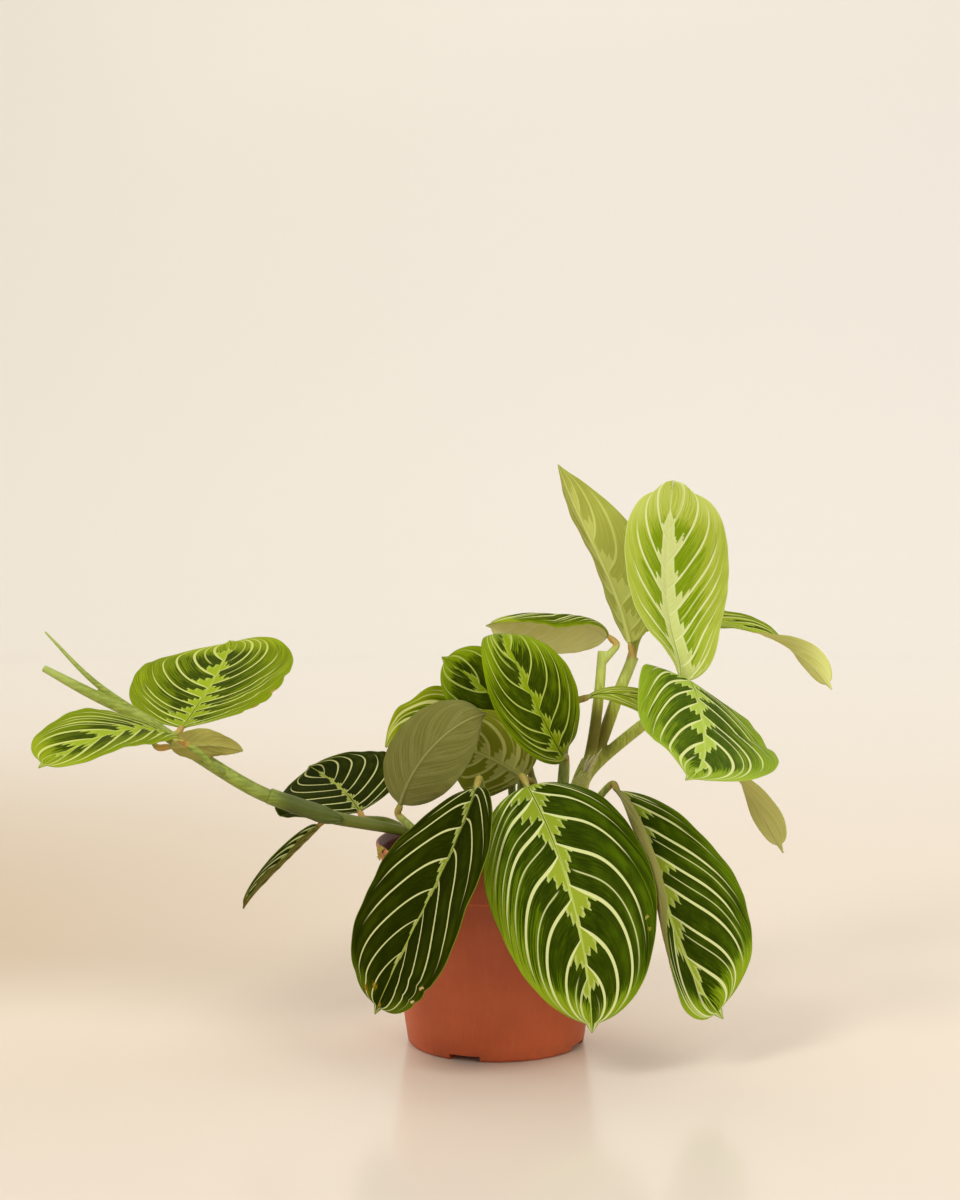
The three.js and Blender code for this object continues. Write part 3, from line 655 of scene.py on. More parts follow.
def add_feather(m):
    """The jagged lobes along the rib, one for each lateral vein, and their rim."""
    m.lobe_reach = m.look.lobe * (1.35 - 0.8 * m.u) * (0.55 + 0.75 * m.chance)
    slant = (1.0 - m.part / (1.0 - 0.4 * m.u)).at_least(0.0) ** 0.75
    teeth = ((m.part * 3.4 + m.chance * 5.0).fract() - 0.5) * 0.36 * m.lobe_reach
    ragged = (grain(m.u * 60.0, m.v * 25.0, m.seed) - 0.5) * 0.3 * m.lobe_reach
    band = m.look.band * (0.7 + 1.2 * (1.0 - m.u))
    edge = (m.lobe_reach * slant + (teeth + ragged) * slant.rises(0.05, 0.3)).at_least(band)
    inside = edge * m.u.falls(0.8, 0.93) - m.lateral
    m.lobe = inside.rises(*LOBE_EDGE)
    m.lobe_rim = m.lobe * inside.falls(*LOBE_RIM)


def add_veins(m):
    """The lateral veins, and a thin vein in some of the gaps between them."""
    to_vein = m.part.at_most(1.0 - m.part) / m.per_mm
    swell = 0.45 + 0.6 * m.lateral.rises(0.0, 7.0) - 0.55 * m.reach.rises(0.45, 0.95)
    thick = m.look.vein_width * swell * (0.8 + 0.4 * m.chance)
    end = VEIN_END + 0.14 * m.chance_two
    main = to_vein.falls(thick * 0.5 - 0.12, thick * 0.5 + 0.16)
    m.main = main * (m.reach - end).falls(-0.12, 0.0) * m.w.falls(*VEIN_FADE)
    to_thin = (m.part - (0.5 + 0.3 * (m.chance_two - 0.5))).absolute() / m.per_mm
    starts = m.lateral.rises(m.lobe_reach * 0.5, m.lobe_reach * 0.5 + 3.0)
    thin = to_thin.falls(*THIN_VEIN) * starts * m.reach.falls(0.72, 0.9)
    m.thin = thin * (dice(m.gap + m.right * 71.0 + m.seed * 3.1) < m.look.thin)


def add_greens(m, leaf):
    """The dark green by the rib, streaks and fibres along the veins, and the lit margins."""
    m.glow = by_side(leaf["glow"], m.right)
    m.tip = m.u.rises(*leaf["tip_glow"])
    m.hairs = grain(m.phase * 16.0, m.reach * 3.0, m.seed + 9.0)
    m.fibres = grain(m.phase * 28.0, m.reach * 6.0, m.seed + 17.0)
    across = grain(m.phase * 4.0, m.reach * 1.2, m.seed + 3.0) - 0.5
    dark_edge = m.look.dark_reach + 0.25 - 0.5 * m.glow - 0.85 * m.tip
    dark_edge = dark_edge + 0.35 * across + 2.0 * (m.hairs - 0.5)
    m.dark = (dark_edge - m.reach).rises(-0.1, 0.1)


def leaf_pattern(tree, leaf, length):
    """The parts of the leaf's pattern, as masks from 0 to 1 over the blade."""
    m = SimpleNamespace()
    find_place(m, tree, leaf, length)
    add_feather(m)
    add_veins(m)
    add_greens(m, leaf)
    rib_width = 0.3 + 0.6 * (1.0 - m.u)
    m.rib = m.lateral.falls(rib_width * 0.6, rib_width)
    m.groove = m.lateral.falls(*RIB_GROOVE) * m.u.falls(0.2, 0.45)
    m.margin = ((1.0 - m.reach) * m.half).falls(*MARGIN_LINE)
    m.quilt = (m.part * math.pi).sine()
    return m


def leaf_relief(m):
    """Height over the blade: quilted between the veins, grooved at the rib, finely ribbed."""
    quilt = m.quilt * m.reach.falls(0.85, 1.0)
    return 0.55 * quilt + 0.14 * m.fibres + 0.3 * m.main - 0.5 * m.groove


def mark_layers(m, leaf, length):
    """Dry spots and scars of one leaf, each a ragged mask and its colour."""
    layers = []
    for at_u, at_v, radius, tint in leaf["marks"]:
        on = (m.u - at_u) * length
        out = (m.v - at_v) * m.half
        far = (on * on + out * out).root()
        frayed = grain(on * 1.1, out * 1.1, at_u * 40.0, detail=4.0) - 0.5
        spot = (far + frayed * radius * 3.6).falls(radius * 0.5, radius * 1.1)
        layers.append((spot, tint))
    return layers


def finish_leaf(material, m, colour, roughness, strength, depth):
    relief = (leaf_relief(m), strength, depth)
    finish_material(material, colour, roughness, m.look.sheen, relief)
    shader = material.node_tree.nodes["Principled BSDF"]
    shader.inputs["Specular Tint"].default_value = LEAF_SHEEN
    return material


def upper_material(name, leaf, length):
    material = new_material(name + "_upper")
    m = leaf_pattern(material.node_tree, leaf, length)
    look = m.look
    mottle = grain(m.u * 9.0, m.v * 5.0, m.seed + 30.0, detail=4.0)
    streak = 3.0 * (m.hairs - 0.5) + 1.6 * (m.fibres - 0.5)
    limey = streak - 0.3 + 0.9 * m.glow * m.reach.rises(0.4, 1.0) + 0.7 * m.tip
    green = blend(limey.rises(-0.2, 0.7), look.green, look.lime)
    deep = layered(
        look.dark,
        (m.fibres.rises(0.3, 0.7) * 0.4, look.green),
        # Painted sheen: each panel between the veins lighter in its middle, where its swell catches
        # the light.
        (m.quilt ** 3.0 * m.reach.rises(0.15, 0.7) * 0.55, look.green),
        (mottle.rises(0.3, 0.7) * 0.7, look.dark),
    )
    feather = layered(
        look.feather,
        (m.fibres.rises(0.35, 0.7) * 0.4, look.lime),
        (m.u.falls(0.0, 0.4) * 0.35, look.green),
        (m.lobe_rim * 0.4, look.vein),
    )
    colour = layered(
        green,
        (m.dark, deep),
        (m.lobe, feather),
        (m.thin * 0.75, look.vein),
        (m.main * 0.94, look.vein),
        (m.rib * 0.8, look.rib),
        # Painted shade: the rib's groove near the base drawn dark, as if in shadow.
        (m.groove * 0.8, look.dark),
        (m.margin * 0.6, look.feather),
        *mark_layers(m, leaf, length),
    )
    return finish_leaf(material, m, colour, 0.5 + 0.14 * m.fibres + 0.06 * m.lobe, 0.7, 0.4)


def under_material(name, leaf, length):
    material = new_material(name + "_under")
    m = leaf_pattern(material.node_tree, leaf, length)
    look = m.look
    lines = grain(m.phase * 11.0, m.reach * 1.5, m.seed + 5.0)
    rills = 0.5 + 0.5 * (m.phase * (8.0 * math.pi) + 3.0 * lines).sine()
    colour = layered(
        look.back,
        (lines.rises(0.3, 0.75) * 0.5, look.back_dark),
        (rills * rills * 0.45, look.back_dark),
        # Painted light through the blade: the upper face's dark green, lobes and veins show here as
        # much as through says.
        (m.dark * (0.2 + 0.5 * look.through), look.back_dark),
        (m.lobe * look.through * 0.7, look.back_vein),
        ((m.thin * 0.5 + m.main).at_most(1.0) * look.through, look.back_vein),
        (m.rib * 0.8, look.back_vein),
        (m.lateral.falls(0.5, 1.3) * m.lateral.rises(0.3, 0.6) * 0.4, look.back_dark),
        *mark_layers(m, leaf, length),
    )
    return finish_leaf(material, m, colour, 0.55 + 0.15 * m.fibres, 0.6, 0.35)


# -------- pieces
def link(name, mesh):
    obj = bpy.data.objects.new(name, mesh)
    bpy.context.scene.collection.objects.link(obj)
    return obj


def add_piece(name, mesh, materials, node=None, marks=None):
    """Puts a mesh in place, smooth, for a node where one is named; marks choose the materials."""
    mesh.materials.clear()
    for material in materials:
        mesh.materials.append(material)
    if marks:
        mesh.polygons.foreach_set("material_index", marks)
    mesh.polygons.foreach_set("use_smooth", [True] * len(mesh.polygons))
    mesh.update()
    obj = link(name, mesh)
    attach(obj, "root")
    if node:
        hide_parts(node)
    return obj


def mesh_from(build, name):
    mesh = bpy.data.meshes.new(name)
    build.to_mesh(mesh)
    build.free()
    return mesh


def applied(obj):
    """The mesh that the object's modifiers make of it; the object itself goes."""
    evaluated = obj.evaluated_get(bpy.context.evaluated_depsgraph_get())
    mesh = bpy.data.meshes.new_from_object(evaluated)
    bpy.data.objects.remove(obj)
    return mesh


def add_ring(build, points):
    """Vertices at points in mm."""
    return [build.verts.new(point) for point in np.array(points) * MM]


def add_skin(build, rings):
    """Faces between rings of vertices in turn; a ring of one vertex closes an end."""
    for low, high in zip(rings, rings[1:]):
        count = max(len(low), len(high))
        for k in range(count):
            n = (k + 1) % count
            if len(low) == 1:
                build.faces.new((low[0], high[n], high[k]))
            elif len(high) == 1:
                build.faces.new((low[k], low[n], high[0]))
            else:
                build.faces.new((low[k], low[n], high[n], high[k]))


def about_z(p, angle):
    """The point turned about the Z axis."""
    c = math.cos(angle)
    s = math.sin(angle)
    return Vector((p.x * c - p.y * s, p.x * s + p.y * c, p.z))


# -------- blades
def unit(v):
    return v / np.linalg.norm(v)


def along(values, u):
    """A value given at even steps from base to tip, at u along the rib."""
    spans = len(values) - 1
    k = min(int(u * spans), spans - 1)
    share = u * spans - k
    return values[k] * (1 - share) + values[k + 1] * share


def outline(leaf, u):
    """Half width along the rib as a share of the widest: an oval with a drawn-out tip."""
    towards_base, towards_tip = leaf["shape"]
    x = min(1.0, max(0.0, u / leaf["body_end"]))
    peak = towards_base / (towards_base + towards_tip)
    full = peak**towards_base * (1 - peak) ** towards_tip
    body = x**towards_base * (1 - x) ** towards_tip / full
    point = leaf["beak"] * min(1.0, max(0.0, (1 - u) / 0.12)) * min(1.0, 3 * x)
    return (body**3 + point**3) ** (1 / 3)


class Rib:
    """The midrib's curve, by its length."""

    def __init__(self, points):
        p0, q1, q2, p3 = (np.array(p, float) for p in points)
        c1 = (-5 * p0 + 18 * q1 - 9 * q2 + 2 * p3) / 6
        c2 = (2 * p0 - 9 * q1 + 18 * q2 - 5 * p3) / 6
        t = np.linspace(0, 1, 401)[:, None]
        self.points = (
            (1 - t) ** 3 * p0 + 3 * (1 - t) ** 2 * t * c1 + 3 * (1 - t) * t**2 * c2 + t**3 * p3
        )
        steps = np.linalg.norm(np.diff(self.points, axis=0), axis=1)
        self.reached = np.concatenate([[0], np.cumsum(steps)])
        self.length = self.reached[-1]

    def at(self, u):
        s = min(1.0, max(0.0, u)) * self.length
        return np.array([np.interp(s, self.reached, self.points[:, k]) for k in range(3)])

    def ahead(self, u):
        step = 0.004
        return unit(self.at(u + step) - self.at(u - step))


def half_width(leaf, u, side):
    half = leaf["width"] / 2 * outline(leaf, u) * leaf["sides"][side]
    for cut_side, centre, depth, spread in leaf["cuts"]:
        if cut_side == side:
            half -= depth * math.exp(-(((u - centre) / spread) ** 2))
    rib = RIB_HALF_WIDTH * min(1.0, (1.0 - u) / 0.06 + 0.25)
    return max(MARGIN_HALF_WIDTH, half) + rib


def blade_row(leaf, rib, u, v):
    """Points of the blade's middle surface at u, for the values v across, with half widths."""
    ahead = rib.ahead(u)
    face = along([unit(np.array(f, float)) for f in leaf["face"]], u)
    up = unit(face - ahead * face.dot(ahead))
    across = np.cross(ahead, up)
    row = np.zeros((len(v), 3))
    halves = np.zeros(len(v))
    for side, sign in enumerate((-1.0, 1.0)):
        chosen = (v < 0) if side == 0 else (v >= 0)
        reach = np.abs(v[chosen])
        half = half_width(leaf, u, side)
        fold = math.radians(along(leaf["fold"][side], u))
        curl = math.radians(along(leaf["curl"][side], u))
        if abs(curl) < 1e-3:
            curl = 1e-3
        bent = fold + curl * reach
        swing, count, start = leaf["wave"][side]
        beat = math.sin(2 * math.pi * (count * u + start))
        ripple = RIPPLE * math.sin(2 * math.pi * (7.3 * u + 0.31 * leaf["seed"] + 0.4 * side))
        strength = math.sqrt(max(0.0, math.sin(math.pi * u)))
        wave = (swing * beat * reach**2.5 + ripple * reach**4) * strength
        out = half / curl * (np.sin(bent) - math.sin(fold)) - wave * np.sin(bent)
        rise = half / curl * (math.cos(fold) - np.cos(bent)) + wave * np.cos(bent)
        horn = leaf["horns"] * u**10 * np.sin(math.pi * np.minimum(1.0, 1.1 * reach)) ** 2
        row[chosen] = rib.at(u) + np.outer(sign * out, across) + np.outer(rise, up)
        row[chosen] += np.outer(horn, ahead)
        halves[chosen] = half
    return row, halves


def blade_relief(leaf, u, v, halves):
    """How far the blade's surface stands off its middle surface, in mm."""
    reach = np.abs(v)
    offsets = vein_offsets(leaf["seed"])
    offset = np.where(v > 0, offsets[1], offsets[0])
    rate = LOOKS[leaf["look"]]["veins"]
    _, phase = vein_phase(u, reach, offset, leaf["seed"], rate, np.sin)
    quilt = np.abs(np.sin(math.pi * phase)) ** 0.8
    fade = (1 - reach**6) * math.sqrt(max(0.0, math.sin(math.pi * u)))
    rib_groove = np.exp(-((reach * halves / 1.1) ** 2)) * (1 - u) ** 0.5
    return QUILT_HEIGHT * (quilt - 0.5) * fade - GROOVE_DEPTH * rib_groove


def blade_columns():
    """The values of v that the blade is cut at, closer together at its margins."""
    half = np.concatenate([np.linspace(0, 0.95, 20), [0.985, 1.0]])
    return np.concatenate([-half[:0:-1], half])


def blade_rows():
    """The values of u that the blade is cut at, closer together at base and tip."""
    t = np.linspace(0, 1, BLADE_ROWS + 1)
    return 0.5 * t + 0.25 * (1 - np.cos(np.pi * t))


def surface_normals(grid):
    """The direction square to a grid of points at each of them."""
    normals = np.cross(np.gradient(grid, axis=1), np.gradient(grid, axis=0))
    return normals / (np.linalg.norm(normals, axis=2, keepdims=True) + 1e-12)


def sheet_mesh(name, upper, lower):
    """A closed thin solid between two grids of points in mm, and which faces are below."""
    row_count, count = upper.shape[:2]
    total = row_count * count
    points = np.concatenate([upper.reshape(-1, 3), lower.reshape(-1, 3)]) * MM
    faces = []
    for i in range(row_count - 1):
        for a in range(i * count, (i + 1) * count - 1):
            faces.append((a, a + 1, a + 1 + count, a + count))
            faces.append((a + total, a + count + total, a + 1 + count + total, a + 1 + total))
    below = [0, 1] * (len(faces) // 2)
    end = count - 1
    corners = [i * count for i in range(row_count)]
    rim = corners + [corners[-1] + j for j in range(1, count)]
    rim += [corner + end for corner in corners[-2::-1]] + list(range(end - 1, -1, -1))
    for a, b in zip(rim, rim[1:]):
        faces.append((a, b, b + total, a + total))
        below.append(0)
    mesh = bpy.data.meshes.new(name)
    mesh.from_pydata(points.tolist(), [], faces)
    return mesh, below


def add_blade_maps(mesh, rows, v, halves, length):
    """The blade's own coordinates, its spans in units of 100 mm, and a flat layout of its faces."""
    corner = np.zeros(len(mesh.loops), int)
    mesh.loops.foreach_get("vertex_index", corner)
    total = halves.size
    below = corner >= total
    u = np.repeat(rows, len(v))[corner % total]
    v = np.tile(v, len(rows))[corner % total]
    half = halves.reshape(-1)[corner % total]
    flat = np.stack([0.25 + 0.235 * v * half / halves.max() + 0.5 * below, 0.02 + 0.96 * u], 1)
    on_rim = np.arange(len(corner)) >= 8 * (halves.shape[0] - 1) * (halves.shape[1] - 1)
    folded = on_rim & below
    flat[folded, 0] += -0.5 + 0.006 * np.sign(v[folded])
    span = np.stack([half / 100, np.full(len(corner), length / 100)], 1)
    for name, values in (("leaf", np.stack([u, v], 1)), ("span", span), ("OFBake", flat)):
        layer = mesh.uv_layers.new(name=name)
        layer.data.foreach_set("uv", values.astype(np.float32).ravel())


def make_blade(name, leaf):
    rib = Rib(leaf["rib"])
    v = blade_columns()
    rows = blade_rows()
    middle = np.zeros((len(rows), len(v), 3))
    halves = np.zeros((len(rows), len(v)))
    relief = np.zeros((len(rows), len(v)))
    for i, u in enumerate(rows):
        middle[i], halves[i] = blade_row(leaf, rib, u, v)
        relief[i] = blade_relief(leaf, u, v, halves[i])
    normals = surface_normals(middle)
    thick = BLADE_THICKNESS / 2 * (1 - 0.6 * np.abs(v) ** 8)
    spine = SPINE_HEIGHT * np.exp(-((np.abs(v) * halves) ** 2)) * (1 - rows[:, None]) ** 0.7
    upper = middle + normals * (thick + relief)[..., None]
    lower = middle - normals * (thick - relief + spine)[..., None]
    piece = "blade_" + name
    mesh, below = sheet_mesh(piece, upper, lower)
    add_blade_maps(mesh, rows, v, halves, rib.length)
    materials = [upper_material(piece, leaf, rib.length), under_material(piece, leaf, rib.length)]
    add_piece(piece, mesh, materials, "leaf_" + name, below)


# -------- stems and stalks
def smooth_path(points, spacing):
    """A centripetal Catmull-Rom curve through x, y, z, radius points, sampled by length."""
    p = [np.array(q, float) for q in points]
    p = [2 * p[0] - p[1], *p, 2 * p[-1] - p[-2]]
    samples = []
    for k in range(1, len(p) - 2):
        knots = [0.0]
        for a, b in zip(p[k - 1:k + 2], p[k:k + 3]):
            knots.append(knots[-1] + max(1e-4, np.linalg.norm((b - a)[:3])) ** 0.5)
        for t in np.linspace(knots[1], knots[2], 24, endpoint=False):
            level = p[k - 1:k + 3]
            for spans in (((0, 1), (1, 2), (2, 3)), ((0, 2), (1, 3)), ((1, 2),)):
                level = [
                    (knots[j] - t) / (knots[j] - knots[i]) * a
                    + (t - knots[i]) / (knots[j] - knots[i]) * b
                    for (i, j), a, b in zip(spans, level, level[1:])
                ]
            samples.append(level[0])
    samples.append(p[-2])
    samples = np.array(samples)
    steps = np.linalg.norm(np.diff(samples[:, :3], axis=0), axis=1)
    reached = np.concatenate([[0], np.cumsum(steps)])
    count = max(2, round(reached[-1] / spacing))
    wanted = np.linspace(0, reached[-1], count + 1)
    return np.stack([np.interp(wanted, reached, samples[:, k]) for k in range(4)], 1)


def turns_of(path, angles):
    """For each point of a path, the directions across it at the given angles."""
    ahead = np.gradient(path[:, :3], axis=0)
    ahead /= np.linalg.norm(ahead, axis=1, keepdims=True)
    side = np.cross(ahead[0], (0.3, 0.9, 0.1))
    turns = []
    for step, row in zip(ahead, angles):
        side = unit(side - step * side.dot(step))
        turns.append(np.outer(np.cos(row), side) + np.outer(np.sin(row), np.cross(step, side)))
    return turns


def add_tube(build, path, sides=16):
    """A closed round tube along a path of x, y, z, radius rows in mm."""
    angles = 2 * math.pi * np.arange(sides) / sides
    rings = [add_ring(build, [path[0, :3]])]
    for row, out in zip(path, turns_of(path, [angles] * len(path))):
        rings.append(add_ring(build, row[:3] + row[3] * out))
    rings.append(add_ring(build, [path[-1, :3]]))
    add_skin(build, rings)


def joint_end(leaf):
    """The stalk's swollen joint, in line with the rib, up to and just under the blade's base."""
    rib = Rib(leaf["rib"])
    base = rib.at(0)
    ahead = unit(rib.at(0.01) - base)
    stops = (
        (BLADE_SEAT + JOINT_LENGTH, 1.0), (BLADE_SEAT + 2, 1.0), (BLADE_SEAT, 0.75), (-1.2, 0.45),
    )
    return [(*(base - ahead * back), JOINT_RADIUS * share) for back, share in stops]


def joint_middle(leaf):
    rib = Rib(leaf["rib"])
    return rib.at(0) - unit(rib.at(0.01) - rib.at(0)) * 4.0


def fused(build, name):
    """The overlapping tubes made one skin."""
    obj = link(name, mesh_from(build, name))
    remesh = obj.modifiers.new("fuse", "REMESH")
    remesh.mode = "VOXEL"
    remesh.voxel_size = FUSING_CELL * MM
    smooth = obj.modifiers.new("smooth", "SMOOTH")
    smooth.iterations = FUSING_ROUNDS
    return applied(obj)


def stem_tone(mesh, joints, tips):
    """Stores how near each point is to a leaf joint and to a young tip, for the colour."""
    points = np.zeros(len(mesh.vertices) * 3)
    mesh.vertices.foreach_get("co", points)
    points = points.reshape(-1, 3) / MM
    for layer, places, reach in (("joint", joints, 5.5), ("young", tips, 22.0)):
        near = np.zeros(len(points))
        for centre in places:
            distance = np.linalg.norm(points - centre, axis=1)
            near = np.maximum(near, np.clip(1.2 - distance / reach, 0, 1))
        stored = mesh.attributes.new(layer, "FLOAT", "POINT")
        stored.data.foreach_set("value", near.astype(np.float32))


def stem_material(name, light, deep, joint, stretch, aged_and_shaded=None):
    """A stem's skin: fine streaks drawn out along it, paler clouds, brown at the leaf joints. The
    darker part, if any, older and also painted shade under the leaves, is where a mask over x and
    z says, and its colour."""
    material = new_material(name)
    tree = material.node_tree
    spot = place(tree)
    drawn = [axis * size for axis, size in zip(spot, stretch)]
    streak = grain(*drawn, detail=3.0)
    fine = grain(*[axis * 3 for axis in drawn])
    colour = layered(
        deep,
        (streak.rises(0.35, 0.65), light),
        (grain_over(spot, 0.12).rises(0.35, 0.75) * 0.2, (178, 190, 96)),
        (fine.rises(0.5, 0.8) * 0.3, deep),
        (attribute(tree, "young") * 0.6, (178, 192, 104)),
    )
    # The darker stretch: olive of older stem and painted shade where the leaves above shade it.
    if aged_and_shaded:
        where, tint = aged_and_shaded
        colour = blend(where(spot[0], spot[2]) * (0.7 + 0.3 * streak), colour, tint)
    swollen = blend(streak, joint, (190, 152, 74))
    colour = blend(attribute(tree, "joint").rises(0.15, 0.8) * 0.8, colour, swollen)
    return finish_material(
        material, colour, 0.36 + 0.16 * streak, 0.3, (streak + 0.5 * fine, 0.4, 0.2)
    )


def make_stem(name, material):
    runs = STEMS[name]["runs"]
    leaves = STEMS[name]["leaves"]
    build = bmesh.new()
    for run in runs:
        add_tube(build, smooth_path(run, STEM_STEP))
    for leaf_name, run in leaves.items():
        add_tube(build, smooth_path([*run, *joint_end(LEAVES[leaf_name])], STALK_STEP))
    skin = fused(build, name)
    skin.name = name + "_skin"
    joints = [joint_middle(LEAVES[leaf_name]) for leaf_name in leaves]
    stem_tone(skin, joints, [np.array(run[-1][:3], float) for run in runs[1:]])
    add_piece(name + "_skin", skin, [material], name)


def make_stalk(name, leaf, material):
    build = bmesh.new()
    stalk = [(*point, STALK_RADIUS) for point in leaf["petiole"]]
    add_tube(build, smooth_path([*stalk, *joint_end(leaf)], STALK_STEP))
    mesh = mesh_from(build, "stalk_" + name)
    stem_tone(mesh, [joint_middle(leaf)], [])
    add_piece("stalk_" + name, mesh, [material], "petiole_" + name)


def make_stems():
    """The two branching stems, each darker in one stretch, with age and as painted shade under the
    leaves.
    """
    joint = (176, 118, 44)
    left = stem_material(
        "stem_left_skin", *STEM_GREEN, joint, LEVEL_STREAKS,
        # Painted shade and older olive: darker towards the pot, under the leaves.
        aged_and_shaded=(lambda x, z: x.rises(-132.0, -92.0), (84, 90, 18)),
    )
    right = stem_material(
        "stem_right_skin", (202, 210, 98), (162, 174, 50), joint, UPRIGHT_STREAKS,
        # Painted shade and older olive-brown: darker over a stretch of the upright stems under the
        # leaves.
        aged_and_shaded=(
            lambda x, z: z.rises(142.0, 150.0) * z.falls(162.0, 178.0) * x.falls(54.0, 62.0),
            (112, 104, 22),
        ),
    )
    make_stem("stem_left", left)
    make_stem("stem_right", right)


def make_leaves():
    """The blades, and a stalk for each that rises from the soil by itself."""
    stalk = stem_material(
        "stalk_skin", (160, 172, 82), (124, 138, 54), OLIVE_JOINT, UPRIGHT_STREAKS
    )
    for name, leaf in LEAVES.items():
        make_blade(name, leaf)
        if leaf["petiole"]:
            make_stalk(name, leaf, stalk)


# -------- small dry pieces
def dry_material(name, light, deep):
    """Papery dried plant: fibres along it, blotched."""
    material = new_material(name)
    spot = place(material.node_tree)
    fibre = grain_over(spot, (2.6, 2.6, 0.5), detail=3.0)
    blotch = grain_over(spot, 0.5)
    colour = layered(
        deep, (fibre.rises(0.35, 0.7), light), (blotch.rises(0.45, 0.8) * 0.5, deep)
    )
    return finish_material(material, colour, 0.6 + 0.2 * fibre, 0.25, (fibre, 0.5, 0.25))


def add_sheet(name, grid, thickness, material):
    """A thin sheet about a grid of points."""
    half = surface_normals(grid) * thickness / 2
    mesh, _ = sheet_mesh(name, grid + half, grid - half)
    add_piece(name, mesh, [material])


def make_sheath(name, run, material, turn, opening, lift=0.35):
    """A leaf sheath: a sleeve round a run of x, y, z, radius, open on one side, with a point."""
    path = smooth_path(run, STALK_STEP)
    share = np.linspace(-1, 1, 19)
    t = np.linspace(0, 1, len(path))
    angles = [turn + opening * (1 - 0.92 * at**1.8) * share for at in t]
    grid = np.zeros((len(path), len(share), 3))
    for k, out in enumerate(turns_of(path, angles)):
        radius = path[k, 3] + lift + 1.2 * t[k] ** 3
        frill = 0.25 * np.sin(9 * share + 5 * t[k]) * t[k]
        grid[k] = path[k, :3] + out * (radius + frill)[:, None]
    add_sheet(name, grid, SHEATH_THICKNESS, material)


def make_fibres(name, material):
    """Dried strands that stand off a stem."""
    build = bmesh.new()
    for strand in FIBRES[name]:
        add_tube(build, smooth_path(strand, 0.6), 8)
    add_piece(name, mesh_from(build, name), [material])


def make_scrap(material):
    """A withered scrap of leaf that hangs over the pot's lip."""
    angle = math.radians(SCRAP_ANGLE)
    out = np.array((math.cos(angle), math.sin(angle), 0))
    along_rim = np.array((-math.sin(angle), math.cos(angle), 0))
    grid = np.zeros((len(SCRAP_FALL) * 3 - 2, 13, 3))
    stops = np.linspace(0, len(SCRAP_FALL) - 1, len(grid))
    for i, stop in enumerate(stops):
        r, z = (np.interp(stop, range(len(SCRAP_FALL)), values) for values in zip(*SCRAP_FALL))
        t = i / len(grid)
        width = SCRAP_HALF_WIDTH * math.sin(math.pi * (0.12 + 0.8 * t)) ** 0.7
        for j, share in enumerate(np.linspace(-1, 1, 13)):
            fine_crease = 0.25 * math.sin(2.3 * i + 3 * share)
            crease = 0.5 * abs(math.sin(5 * share + 0.35 * i)) + fine_crease
            drop = 0.9 * math.sin(2.1 * share + 0.5 * i) * t
            point = out * (r + max(0.0, crease)) + along_rim * width * share
            grid[i, j] = point + np.array((0, 0, z + drop * 0.6 + 0.1))
    add_sheet("scrap_dry", grid, SCRAP_THICKNESS, material)


def make_dry_pieces():
    pale = dry_material("sheath_pale", (250, 250, 176), (212, 216, 108))
    straw = dry_material("fibre_straw", (254, 250, 230), (240, 230, 186))
    brown = dry_material("scrap_brown", (196, 176, 78), (146, 122, 44))
    olive = stem_material(
        "sheath_olive", *STEM_GREEN, OLIVE_JOINT, LEVEL_STREAKS,
        # Painted shade and older olive: darker towards the pot, under the leaves.
        aged_and_shaded=(lambda x, z: x.rises(-116.0, -100.0), (58, 66, 8)),
    )
    make_sheath("sheath_fork", FORK_SHEATH, pale, turn=1.3, opening=1.7, lift=0.5)
    make_sheath("sheath_node", NODE_SHEATH, olive, turn=1.2, opening=2.7)
    for name in FIBRES:
        make_fibres(name, straw)
    make_scrap(brown)


# -------- pot
def add_turned(build, stops, sides):
    """Turns r, z stops round the Z axis, from the foot outwards; z may be a height over x and y."""
    rings = []
    for r, z in stops:
        count = sides if r > 0 else 1
        angles = [2 * math.pi * k / count for k in range(count)]
        points = [(r * math.cos(angle), r * math.sin(angle)) for angle in angles]
        rings.append(add_ring(build, [(x, y, z(x, y) if callable(z) else z) for x, y in points]))
    add_skin(build, rings)


def rounded(profile, radius, steps=3):
    """The profile with its inner corners rounded by short arcs."""
    points = [Vector(p) for p in profile]
    out = [points[0]]
    for before, corner, after in zip(points, points[1:], points[2:]):
        back = before - corner
        on = after - corner
        reach = min(radius, 0.45 * back.length, 0.45 * on.length)
        start = corner + back.normalized() * reach
        end = corner + on.normalized() * reach
        for k in range(steps + 1):
            t = k / steps
            out.append(start * (1 - t) ** 2 + corner * 2 * t * (1 - t) + end * t**2)
    out.append(points[-1])
    return [(p.x, p.y) for p in out]


def pot_profile():
    lip_foot = POT_HEIGHT - LIP_HEIGHT
    return [
        (0, 0),
        (HUB_RADIUS, 0),
        (HUB_RADIUS + STEP_SLOPE, FLOOR_RISE),
        (FOOT_RING_INNER - STEP_SLOPE, FLOOR_RISE),
        (FOOT_RING_INNER, 0),
        (BODY_FOOT_RADIUS - FOOT_ROUND, 0),
        (BODY_FOOT_RADIUS, FOOT_ROUND),
        (BODY_TOP_RADIUS, BAND_FOOT_Z - STEP_SLOPE),
        (BAND_FOOT_RADIUS, BAND_FOOT_Z),
        (BAND_TOP_RADIUS, lip_foot - 1),
        (LIP_RADIUS, lip_foot),
        (LIP_RADIUS, POT_HEIGHT - LIP_EDGE),
        (LIP_RADIUS - LIP_EDGE, POT_HEIGHT),
        (LIP_RADIUS - POT_WALL, POT_HEIGHT),
        (BAND_TOP_RADIUS - POT_WALL, lip_foot - POT_WALL),
        (BAND_FOOT_RADIUS - POT_WALL, BAND_FOOT_Z),
        (BODY_TOP_RADIUS - POT_WALL, BAND_FOOT_Z - 1),
        (BODY_FOOT_RADIUS - 1, FLOOR_TOP),
        (0, FLOOR_TOP),
    ]


